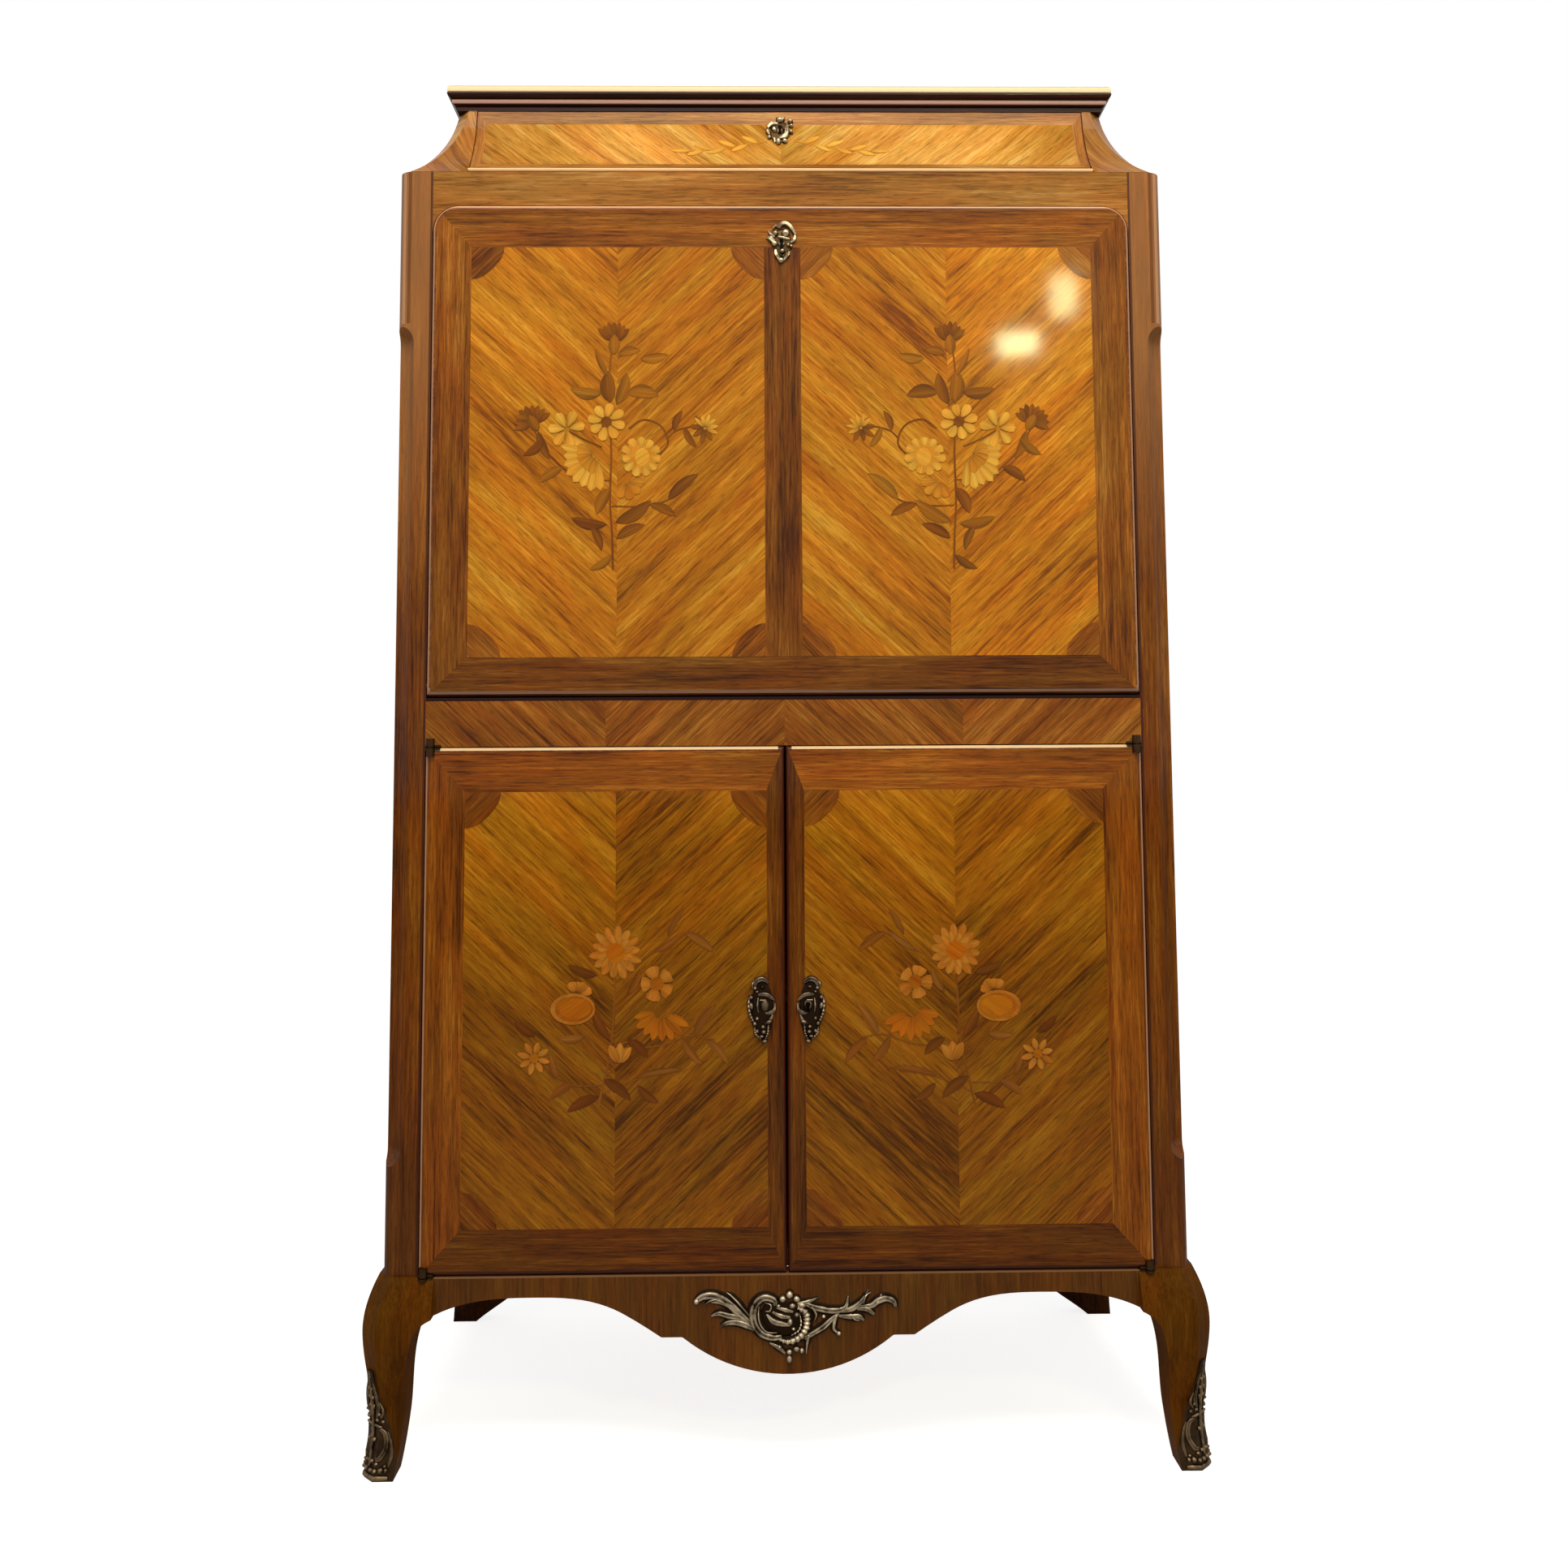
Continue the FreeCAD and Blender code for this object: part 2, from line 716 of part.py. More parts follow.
def small_drawer():
    """Right small drawer: front, sides and back standing on a nailed bottom."""
    x0 = bay_inner + drawer_gap
    x1 = nest_inner - drawer_gap
    y0 = nest_front
    y1 = inner_back - drawer_gap
    z0 = floor_top + drawer_gap
    z1 = nest_shelf - drawer_gap
    box_top = z1 - small_drop
    rise = z0 + small_bottom
    face = slab(x0, x1, y0, y0 + small_front, z0, z1)
    bottom = slab(x0, x1, y0 + small_front, y1, z0, rise)
    left = slab(x0, x0 + small_board, y0 + small_front, y1, rise, box_top)
    right = slab(x1 - small_board, x1, y0 + small_front, y1, rise, box_top)
    end = slab(x0 + small_board, x1 - small_board, y1 - small_board, y1, rise, box_top)
    return Part.makeCompound([face, bottom, left, right, end])


def small_knob():
    """Turned knob on the right small drawer."""
    x = (bay_inner + nest_inner) / 2
    z = (floor_top + nest_shelf) / 2
    points = [V(x + r * knob_radius, nest_front - s * knob_length, z) for r, s in knob_shares]
    spline = Part.BSplineCurve()
    spline.interpolate(points)
    tip = V(x, nest_front - knob_length, z)
    seat = V(x, nest_front, z)
    edges = [spline.toShape()] + chain([points[-1], tip, seat, points[0]])
    face = Part.Face(Part.Wire(Part.__sortEdges__(edges)))
    return face.revolve(seat, V(0, 1, 0), 360)


# Locks

def lock_case():
    """Lock case with the channel of its bolt; the bolt leaves it upwards, the inner face is at zero."""
    case = slab(-lock_width / 2, lock_width / 2, -lock_depth, 0, -lock_height, 0)
    channel = bolt_space(slide_clearance, -bolt_recess - bolt_length - slide_clearance, overrun)
    return case.cut(channel)


def bolt_space(room, z0, z1):
    """Block as wide and thick as the bolt with room to spare, between two levels."""
    w = bolt_width / 2 + room
    t = bolt_thickness / 2 + room
    middle = -lock_depth / 2
    return slab(-w, w, middle - t, middle + t, z0, z1)


def lock_bolt():
    """Bolt, drawn back."""
    return bolt_space(0, -bolt_recess - bolt_length, -bolt_recess)


def bolt_mortise():
    """Room for the thrown bolt in the piece that it locks to."""
    return bolt_space(2 * slide_clearance, 0, bolt_throw + 2 * slide_clearance)


def lock_pocket():
    """Room for the lock case, open to the edge and to the inner face."""
    return slab(-lock_width / 2, lock_width / 2, -lock_depth, overrun, -lock_height, overrun)


def on_door(shape):
    """A lock part turned to the meeting edge of the right door, its bolt towards the left."""
    turned = shape.rotated(V(0, 0, 0), V(0, 1, 0), -90)
    return turned.translated(V(meeting_gap / 2, door_inner, door_top - door_keyhole_drop))


def keyhole(x, z, y0, y1):
    """Round hole with a slot below, from front to back."""
    hole = rod(keyhole_radius, V(x, y0, z), V(x, y1, z))
    slot = slab(x - keyhole_slot / 2, x + keyhole_slot / 2, y0, y1, z - keyhole_length, z)
    return hole.fuse(slot)


# Frieze drawer

def drawer_front():
    """Coved drawer front with a rounded lip below, a groove for the bottom and a pocket for the lock."""
    lip_y = front + drawer_lip_set + drawer_lip / 2
    lip_z = drawer_foot + drawer_lip
    x0 = -drawer_half

    def plane(y, z):
        return V(x0, y, z)
    lip_front = plane(front + drawer_lip_set, drawer_foot + drawer_lip / 2)
    edges = [Part.Arc(plane(lip_y, drawer_foot), lip_front, plane(lip_y, lip_z)).toShape()]
    lip_rise = lip_z - post_top
    edges += chain([plane(lip_y, lip_z), plane(front + cove_inset(lip_rise), lip_z)])
    edges.append(hollow_arc(lip_rise, cove_rise, lambda a, z: plane(front + a, z)))
    edges += chain([plane(front + cove_recess, cove_top), plane(front + cove_recess, drawer_head),
                    plane(drawer_back_face, drawer_head), plane(drawer_back_face, drawer_foot),
                    plane(lip_y, drawer_foot)])
    face = prism(edges, V(drawer_width, 0, 0))
    pocket = lock_pocket().translated(V(0, drawer_back_face, drawer_head))
    hole = keyhole(0, drawer_head - drawer_keyhole_drop, front, drawer_back_face)
    return face.cut(drawer_bottom()).cut(pocket).cut(hole)


def drawer_side():
    """Right side of the drawer, grooved for the bottom."""
    board = slab(drawer_half - drawer_board, drawer_half, drawer_back_face, drawer_end,
                 drawer_foot, drawer_foot + drawer_side_height)
    return board.cut(drawer_bottom())


def drawer_back():
    """Back of the drawer, standing on its bottom."""
    edge = drawer_half - drawer_board
    low = drawer_foot + drawer_bottom_rise + drawer_bottom_thickness
    return slab(-edge, edge, drawer_end - drawer_board, drawer_end, low, drawer_foot + drawer_side_height)


def drawer_bottom():
    """Bottom of the drawer, let into the front and the sides."""
    edge = drawer_half - drawer_board + drawer_groove
    low = drawer_foot + drawer_bottom_rise
    return slab(-edge, edge, drawer_back_face - drawer_groove, drawer_end,
                low, low + drawer_bottom_thickness)


# Fall front

def fall_outline(edge, z0, z1, corner, y0, y1):
    """Panel with rounded upper corners, from y0 to y1."""
    bend = corner - corner / root2

    def plane(x, z):
        return V(x, y0, z)
    edges = chain([plane(-edge, z1 - corner), plane(-edge, z0), plane(edge, z0), plane(edge, z1 - corner)])
    edges.append(Part.Arc(plane(edge, z1 - corner), plane(edge - bend, z1 - bend),
                          plane(edge - corner, z1)).toShape())
    edges += chain([plane(edge - corner, z1), plane(corner - edge, z1)])
    edges.append(Part.Arc(plane(corner - edge, z1), plane(bend - edge, z1 - bend),
                          plane(-edge, z1 - corner)).toShape())
    return prism(edges, V(0, y1 - y0, 0))


def pivot_plate(x0, x1):
    """Upright plate round the axis of the fall, round below, between two planes."""
    w = pivot_plate_width / 2
    eye = rod(w, V(x0, fall_axis_y, fall_axis_z), V(x1, fall_axis_y, fall_axis_z))
    strip = slab(x0, x1, fall_axis_y - w, fall_axis_y + w, fall_axis_z, fall_axis_z + pivot_plate_length)
    return eye.fuse(strip).removeSplitter()


def fall_bore(room, x0, x1):
    """Round space on the axis of the fall, room wider than its pin."""
    return rod(fall_pin_radius + room, V(x0, fall_axis_y, fall_axis_z), V(x1, fall_axis_y, fall_axis_z))


def fall_pivot():
    """Right pivot of the fall: plate let into the post, with its pin."""
    plate = pivot_plate(opening_half, opening_half + pivot_plate_thickness)
    return plate.fuse(fall_bore(0, panel_half - fall_pin_length, opening_half + pivot_plate_thickness))


def fall_pivot_plate():
    """Bored plate let into the right end of the fall."""
    plate = pivot_plate(panel_half - pivot_plate_thickness, panel_half)
    return plate.cut(fall_bore(running_clearance, panel_half - pivot_plate_thickness - overrun,
                               panel_half + overrun))


def fall_panel():
    """Fall front: moulded edge, rounded upper corners, round foot, pockets for lock and pivots."""
    blank = fall_outline(panel_half, fall_bottom, fall_top, fall_corner, panel_face, fall_inner)
    rim = [e for e in blank.Edges if all(abs(v.Y - panel_face) < relief for v in e.Vertexes)
           and not all(abs(v.Z - fall_bottom) < relief for v in e.Vertexes)]
    blank = blank.makeFillet(edge_round, rim)
    middle = (panel_face + fall_inner) / 2

    def plane(y, z):
        return V(-panel_half, y, z)
    foot = [Part.Arc(plane(panel_face, fall_axis_z), plane(middle, fall_bottom),
                     plane(fall_inner, fall_axis_z)).toShape()]
    foot += chain([plane(fall_inner, fall_axis_z), plane(fall_inner, fall_top), plane(panel_face, fall_top),
                   plane(panel_face, fall_axis_z)])
    panel = blank.common(prism(foot, V(2 * panel_half, 0, 0)))
    housing = pivot_plate(panel_half - pivot_plate_thickness, panel_half + overrun)
    bore = fall_bore(relief, panel_half - fall_pin_length - relief, panel_half)
    for tool in (housing, bore):
        panel = panel.cut(tool).cut(mirrored(tool))
    hole = keyhole(0, fall_top - fall_keyhole_drop, panel_face - overrun, fall_inner)
    return panel.cut(lock_pocket().translated(V(0, fall_inner, fall_top))).cut(hole)


def fall_leather():
    """Leather on the inner face of the fall, the writing surface."""
    edge = panel_half - leather_margin
    return slab(-edge, edge, fall_inner, fall_inner + leather_thickness,
                fall_bottom + leather_margin, fall_top - leather_head)


# Stays: the pin on the fall and the stud on the side lie equally far from the axis,
# so the slot turns by exactly half the angle of the fall.

stay_outer = panel_half - stay_inset
stay_inner = stay_outer - stay_thickness
pin_y = fall_inner + stay_pin_rise
pin_reach = pin_y - fall_axis_y
pin_z = fall_axis_z + math.sqrt(stay_radius ** 2 - pin_reach ** 2)
pin_angle = math.degrees(math.asin(pin_reach / stay_radius))
stud_y = fall_axis_y + stay_radius * math.sin(math.radians(stud_angle))
stud_z = fall_axis_z + stay_radius * math.cos(math.radians(stud_angle))
slot_start = 2 * stay_radius * math.sin(math.radians((stud_angle - pin_angle) / 2))
slot_end = 2 * stay_radius * math.sin(math.radians((90 + stud_angle - pin_angle) / 2))


def stadium(y0, y1, z, radius, x0, x1):
    """Flat bar with round ends between two centres along Y."""
    ends = [rod(radius, V(x0, y, z), V(x1, y, z)) for y in (y0, y1)]
    bar = slab(x0, x1, y0, y1, z - radius, z + radius)
    return bar.fuse(ends).removeSplitter()


def stay():
    """Right stay: an eye on the pin of the fall and a long slot over the stud of the side."""
    bar = stadium(pin_y, pin_y + slot_end + stay_tail - stay_width / 2 + stay_pin_radius, pin_z,
                  stay_width / 2, stay_inner, stay_outer)
    slot = stadium(pin_y + slot_start, pin_y + slot_end, pin_z, stay_pin_radius + stud_clearance,
                   stay_inner - overrun, stay_outer + overrun)
    eye = rod(stay_pin_radius + running_clearance, V(stay_inner - overrun, pin_y, pin_z),
              V(stay_outer + overrun, pin_y, pin_z))
    level = bar.cut(slot).cut(eye)
    return level.rotated(V(0, pin_y, pin_z), V(1, 0, 0), -(pin_angle + stud_angle) / 2)


def headed_pin(y, z, x0):
    """Pin across the stay with its head on the inner side, starting at x0."""
    tip = stay_inner - side_play
    shank = rod(stay_pin_radius, V(tip, y, z), V(x0, y, z))
    head = rod(stay_head_radius, V(tip - stay_head_thickness, y, z), V(tip, y, z))
    return shank.fuse(head)


def stay_bracket():
    """Right bracket on the fall: plate, ear and headed pin."""
    x0 = stay_outer + side_play
    x1 = x0 + bracket_ear
    z0 = pin_z - bracket_length / 2
    z1 = pin_z + bracket_length / 2
    plate = slab(x1 - bracket_width, x1, fall_inner, fall_inner + bracket_plate, z0, z1)
    ear = rod(stay_width / 2, V(x0, pin_y, pin_z), V(x1, pin_y, pin_z))
    web = slab(x0, x1, fall_inner, pin_y, pin_z - stay_width / 2, pin_z + stay_width / 2)
    return plate.fuse([ear, web, headed_pin(pin_y, pin_z, x1)]).removeSplitter()


def stay_stud():
    """Right stud on the side panel, with a shoulder behind the stay and a head before it."""
    shoulder = rod(stay_head_radius, V(stay_outer + side_play, stud_y, stud_z),
                   V(inner_half, stud_y, stud_z))
    return shoulder.fuse(headed_pin(stud_y, stud_z, inner_half)).removeSplitter()


# Doors

def hinge_leaf(z0, z1):
    """Flat leaf of the right door's pivot hinge, with a round nose on the axis."""
    plate = slab(hinge_x - leaf_reach, hinge_x + hinge_inset, hinge_y, hinge_y + leaf_depth, z0, z1)
    nose = rod(knuckle_radius, V(hinge_x, hinge_y, z0), V(hinge_x, hinge_y, z1))
    return plate.fuse(nose).removeSplitter()


def hinge_rod(radius, z0, z1):
    """Round piece on the axis of the right door."""
    return rod(radius, V(hinge_x, hinge_y, z0), V(hinge_x, hinge_y, z1))


def door_hinges():
    """Hinge parts on the right door, one above and one below: leaf and bored knuckle."""
    bore = door_pin_radius + running_clearance
    upper = hinge_leaf(door_top - leaf_thickness, door_top)
    upper = upper.fuse(hinge_rod(knuckle_radius, door_top - knuckle_height, door_top))
    upper = upper.cut(hinge_rod(bore, door_top - door_pin_length - relief, door_top + overrun))
    lower = hinge_leaf(door_bottom, door_bottom + leaf_thickness)
    lower = lower.fuse(hinge_rod(knuckle_radius, door_bottom, door_bottom + knuckle_height))
    lower = lower.cut(hinge_rod(bore, door_bottom - overrun, door_bottom + door_pin_length + relief))
    return [upper, lower]


def fixed_hinges():
    """Hinge parts on the rail and on the leg for the right door, with their pins."""
    upper = hinge_leaf(mid_bottom, mid_bottom + leaf_thickness)
    pin = hinge_rod(door_pin_radius, door_top - door_pin_length, mid_bottom + leaf_thickness)
    upper = upper.fuse([hinge_rod(knuckle_radius, mid_bottom, mid_bottom + knuckle_height), pin])
    lower = hinge_leaf(base_top - leaf_thickness, base_top)
    lower = lower.fuse(hinge_rod(door_pin_radius, base_top - leaf_thickness, door_bottom + door_pin_length))
    return [upper.removeSplitter(), lower.removeSplitter()]


def door_blank():
    """Right door with its moulded edge, housed for the hinge parts."""
    door = slab(meeting_gap / 2, panel_half, panel_face, door_inner, door_bottom, door_top)
    rim = [e for e in door.Edges if all(abs(v.Y - panel_face) < relief for v in e.Vertexes)]
    door = door.makeFillet(edge_round, rim)
    tools = [hinge_leaf(door_top - leaf_thickness, door_top + overrun),
             hinge_leaf(door_bottom - overrun, door_bottom + leaf_thickness),
             hinge_rod(knuckle_radius + relief, door_top - knuckle_height - relief, door_top + overrun),
             hinge_rod(knuckle_radius + relief, door_bottom - overrun,
                       door_bottom + knuckle_height + relief)]
    for tool in tools:
        door = door.cut(tool)
    return door


def right_door():
    """Right door with the pocket of its lock and the keyhole."""
    hole = keyhole(door_keyhole_set, door_top - door_keyhole_drop, panel_face - overrun, door_inner)
    return door_blank().cut(on_door(lock_pocket())).cut(hole)


def left_door():
    """Left door with the mortise that takes the bolt."""
    return mirrored(door_blank()).cut(on_door(bolt_mortise()))


# Bronze plates

def key_plate(shares, width, height, x, z):
    """Domed plate with a flowing outline, alike on both sides, on the face of fall or door."""
    right = [(0, 1)] + shares + [(0, -1)]
    left = [(-s, t) for s, t in reversed(shares)]
    points = [V(x + s * width / 2, panel_face, z + t * height / 2) for s, t in right + left]
    plate = wavy_plate(points, plate_thickness)
    crown = plate_thickness - plate_edge
    radius = (height ** 2 / 4 + crown ** 2) / (2 * crown)
    dome = Part.makeSphere(radius, V(x, panel_face - plate_thickness + radius, z))
    hole = keyhole(x, z, panel_face - plate_thickness - overrun, panel_face + overrun)
    return plate.common(dome).cut(hole)


def drawer_plate():
    """Rosette with a keyhole, seated on the cove of the drawer front."""
    z = drawer_head - drawer_keyhole_drop
    low = cove_inset(z - drawer_plate_width / 2 - post_top)
    high = cove_inset(z + drawer_plate_width / 2 - post_top)
    seat = front + (low + high) / 2
    lean = math.degrees(math.atan2(high - low, drawer_plate_width))
    count = 4 * rosette_lobes
    points = []
    for i in range(count):
        angle = 2 * math.pi * i / count
        wave_share = 1 - rosette_depth_share + rosette_depth_share * math.cos(rosette_lobes * angle)
        reach = drawer_plate_width / 2 * wave_share
        points.append(V(reach * math.cos(angle), seat, z + reach * math.sin(angle)))
    points = [p + V(0, plate_edge, 0) for p in points]
    plate = wavy_plate(points, plate_thickness + plate_edge)
    plate.rotate(V(0, seat, z), V(1, 0, 0), -lean)
    hole = keyhole(0, z, seat - plate_thickness - overrun, seat + overrun)
    return plate.cut(drawer_front()).cut(hole)


door_plate_z = door_top - door_keyhole_drop
fall_plate_z = fall_top - fall_keyhole_drop
fall_plate = key_plate(fall_plate_shares, fall_plate_width, fall_plate_height, 0, fall_plate_z)
door_plate = key_plate(door_plate_shares, door_plate_width, door_plate_height,
                       door_keyhole_set, door_plate_z)
drawer_lock_place = V(0, drawer_back_face, drawer_head)
fall_lock_place = V(0, fall_inner, fall_top)
hinges = door_hinges()
fixed = fixed_hinges()

parts = {
    "front_left_leg": mirrored(front_leg()),
    "front_right_leg": front_leg(),
    "rear_left_leg": mirrored(rear_leg()),
    "rear_right_leg": rear_leg(),
    "front_apron": front_apron(),
    "left_apron": mirrored(side_apron()),
    "right_apron": side_apron(),
    "rear_apron": rear_apron(),
    "apron_mount": apron_mount(),
    "sabots": pair(sabot()),
    "left_post": mirrored(front_post()),
    "right_post": front_post(),
    "left_side_panel": mirrored(side_panel()),
    "right_side_panel": side_panel(),
    "back_panel": back_panel(),
    "bottom_board": bottom_board(),
    "mid_rail": mid_rail(),
    "writing_floor": writing_floor(),
    "frieze_rail": frieze_rail(),
    "dust_board": dust_board(),
    "left_cove": mirrored(cove_block()),
    "right_cove": cove_block(),
    "cornice_moulding": cornice_moulding(),
    "top_board": top_board(),
    "cupboard_shelf": cupboard_shelf(),
    "shelf_battens": pair(shelf_batten()),
    "nest_cheeks": pair(nest_cheek()),
    "nest_partitions": nest_partitions(),
    "stay_studs": pair(stay_stud()),
    "fall_pivots": pair(fall_pivot()),
    "door_pivots": Part.makeCompound([mirrored(s) for s in fixed] + fixed),
    "drawer_front": drawer_front(),
    "drawer_sides": pair(drawer_side()),
    "drawer_back": drawer_back(),
    "drawer_bottom": drawer_bottom(),
    "drawer_escutcheon": drawer_plate(),
    "drawer_lock": lock_case().translated(drawer_lock_place),
    "drawer_lock_bolt": lock_bolt().translated(drawer_lock_place),
    "fall_panel": fall_panel(),
    "fall_leather": fall_leather(),
    "fall_escutcheon": fall_plate,
    "fall_lock": lock_case().translated(fall_lock_place),
    "fall_lock_bolt": lock_bolt().translated(fall_lock_place),
    "fall_pivot_plates": pair(fall_pivot_plate()),
    "stay_brackets": pair(stay_bracket()),
    "left_stay": mirrored(stay()),
    "right_stay": stay(),
    "left_door": left_door(),
    "right_door": right_door(),
    "left_door_escutcheon": mirrored(door_plate),
    "right_door_escutcheon": door_plate,
    "left_door_hinges": Part.makeCompound([mirrored(s) for s in hinges]),
    "right_door_hinges": Part.makeCompound(hinges),
    "door_lock": on_door(lock_case()),
    "door_lock_bolt": on_door(lock_bolt()),
    "small_drawer_left": mirrored(small_drawer()),
    "small_drawer_right": small_drawer(),
    "small_knob_left": mirrored(small_knob()),
    "small_knob_right": small_knob(),
}

os.makedirs("parts", exist_ok=True)
for name, shape in parts.items():
    shape.exportStep(os.path.join("parts", name + ".step"))
    print(name, len(shape.Solids), shape.isValid(), round(shape.Volume / 1000, 1))
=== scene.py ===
# %% [markdown]
# # A secretaire with floral marquetry
# The carcase, its doors, fall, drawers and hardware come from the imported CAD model, which is the
# fixed frame of this lesson. Blender adds what a cabinet maker adds last: leaves of veneer, inlaid
# flowers, chased bronze and varnish. Every surface is worked out with numpy as a grid of points.

# %% Load the frame
import math
import bmesh
import bpy
from mathutils import Matrix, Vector
import numpy as np


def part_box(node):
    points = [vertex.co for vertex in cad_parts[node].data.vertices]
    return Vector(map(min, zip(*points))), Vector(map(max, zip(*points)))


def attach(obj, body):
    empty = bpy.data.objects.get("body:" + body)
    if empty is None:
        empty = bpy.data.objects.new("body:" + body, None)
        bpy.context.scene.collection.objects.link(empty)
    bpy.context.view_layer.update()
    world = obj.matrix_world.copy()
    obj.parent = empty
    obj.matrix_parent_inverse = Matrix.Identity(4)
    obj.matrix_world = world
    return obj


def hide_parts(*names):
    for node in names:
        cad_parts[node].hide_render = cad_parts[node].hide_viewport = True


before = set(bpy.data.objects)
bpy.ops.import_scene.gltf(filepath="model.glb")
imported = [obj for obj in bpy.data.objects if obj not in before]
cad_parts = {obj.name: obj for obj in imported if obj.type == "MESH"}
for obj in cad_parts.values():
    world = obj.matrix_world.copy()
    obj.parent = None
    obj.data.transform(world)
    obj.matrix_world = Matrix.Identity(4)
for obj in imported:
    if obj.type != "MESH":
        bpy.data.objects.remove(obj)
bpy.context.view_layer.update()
MM = 0.001
SIDES = ((-1, "left"), (1, "right"))
rng = np.random.default_rng(7)


def edges(node):
    """Lowest and highest corner of a CAD node, in millimetres."""
    low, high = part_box(node)
    return np.array(low) / MM, np.array(high) / MM


def added(name, data):
    """A new object in the scene."""
    thing = bpy.data.objects.new(name, data)
    bpy.context.scene.collection.objects.link(thing)
    return thing


def aim(thing, right, up, back, place):
    """Puts an object at a place, with its own axes to the right, up and back."""
    pose = np.eye(4)
    pose[:3, 0], pose[:3, 1], pose[:3, 2], pose[:3, 3] = right, up, back, place
    thing.matrix_world = Matrix(pose.tolist())


# %% [markdown]
# ## The camera
# The photograph was taken a little left of the middle, about as high as the doors' upper edge, with
# the lens tilted slightly up. A shift of the lens keeps the uprights as they are in the picture,
# where a stronger tilt would make them lean.

# %% Camera
IMAGE = 1932
focal_pixels = 1700.0
horizon_pixel = 821.1
eye = np.array([-21.5, -1508.1, 641.3]) * MM
yaw, pitch, roll = 0.01598, 0.07722, -0.00572
ahead = np.array([math.sin(yaw) * math.cos(pitch), math.cos(yaw) * math.cos(pitch), math.sin(pitch)])
level = np.array([math.cos(yaw), -math.sin(yaw), 0.0])
above = np.cross(level, ahead)
right = math.cos(roll) * level + math.sin(roll) * above
up = -math.sin(roll) * level + math.cos(roll) * above

camera_data = bpy.data.cameras.new("photo_camera")
camera_data.sensor_width = 36.0
camera_data.lens = camera_data.sensor_width * focal_pixels / IMAGE
camera_data.shift_y = (horizon_pixel - IMAGE / 2) / IMAGE
camera_data.clip_end = 100.0
camera = added("photo_camera", camera_data)
aim(camera, right, up, -ahead, eye)
bpy.context.scene.camera = camera
print("lens", round(camera_data.lens, 2), "mm, shift", round(camera_data.shift_y, 4))

# %% [markdown]
# ## From grids to meshes
# A piece is one or more patches. A patch is an array of points, rows by columns, with a place on
# the veneer (u along the grain, v across it, in metres), a tone and a shade for each point. The
# faces join neighbours in the array, so nothing is looped over point by point. A leaf of veneer
# also gets a skirt: its outer points are repeated a little lower, so that it has an edge.

# %% Patches
def grid(n, m):
    """Two arrays from 0 to 1, down the rows and along the columns."""
    return np.meshgrid(np.linspace(0, 1, n), np.linspace(0, 1, m), indexing="ij")


def patch(points, uv=None, tone=1.0, shade=0.0, wrap=False, facing=None):
    """Grid of points in millimetres; wrap joins the last column to the first. Where facing is given,
    the columns are turned round if the sum of the cells' normals points away from it."""
    points = np.asarray(points, float)
    n, m = points.shape[:2]
    uv = np.zeros((n, m, 2)) if uv is None else np.asarray(uv, float)
    tone = np.broadcast_to(np.asarray(tone, float), (n, m))
    shade = np.broadcast_to(np.asarray(shade, float), (n, m))
    if facing is not None:
        down = points[1:, :-1] - points[:-1, :-1]
        along = points[:-1, 1:] - points[:-1, :-1]
        if np.cross(down, along).sum((0, 1)) @ np.asarray(facing, float) < 0:
            points, uv, tone, shade = points[:, ::-1], uv[:, ::-1], tone[:, ::-1], shade[:, ::-1]
    return dict(points=points, uv=uv, tone=tone, shade=shade, wrap=wrap)


def skirted(points, uv, facing, depth, tone=1.0, shade=0.0):
    """Patch whose outer ring of points is repeated depth lower, against facing."""
    ring = np.pad(points, ((1, 1), (1, 1), (0, 0)), mode="edge")
    drop = np.zeros(ring.shape[:2])
    drop[[0, -1], :] = depth
    drop[:, [0, -1]] = depth
    ring = ring - drop[..., None] * np.asarray(facing, float)
    grow = lambda a: np.pad(np.broadcast_to(np.asarray(a, float), points.shape[:2]), 1, mode="edge")
    return patch(ring, np.pad(uv, ((1, 1), (1, 1), (0, 0)), mode="edge"), grow(tone), grow(shade),
                 facing=facing)


def faces_of(n, m, wrap, start):
    """Four-cornered faces of an n by m grid whose first point has the number start."""
    index = start + np.arange(n * m).reshape(n, m)
    if wrap:
        index = np.concatenate([index, index[:, :1]], 1)
    a, b, c, d = index[:-1, :-1], index[1:, :-1], index[1:, 1:], index[:-1, 1:]
    return np.stack([a, b, c, d], -1).reshape(-1, 4)


# %% [markdown]
# ## One object from many patches
# All points, faces and attributes go into the mesh in bulk. A cast piece is welded afterwards: the
# ends of a rounded form are rows of points in one place, and merging them closes the pole.

# %% Make a piece
WELD = 1e-7


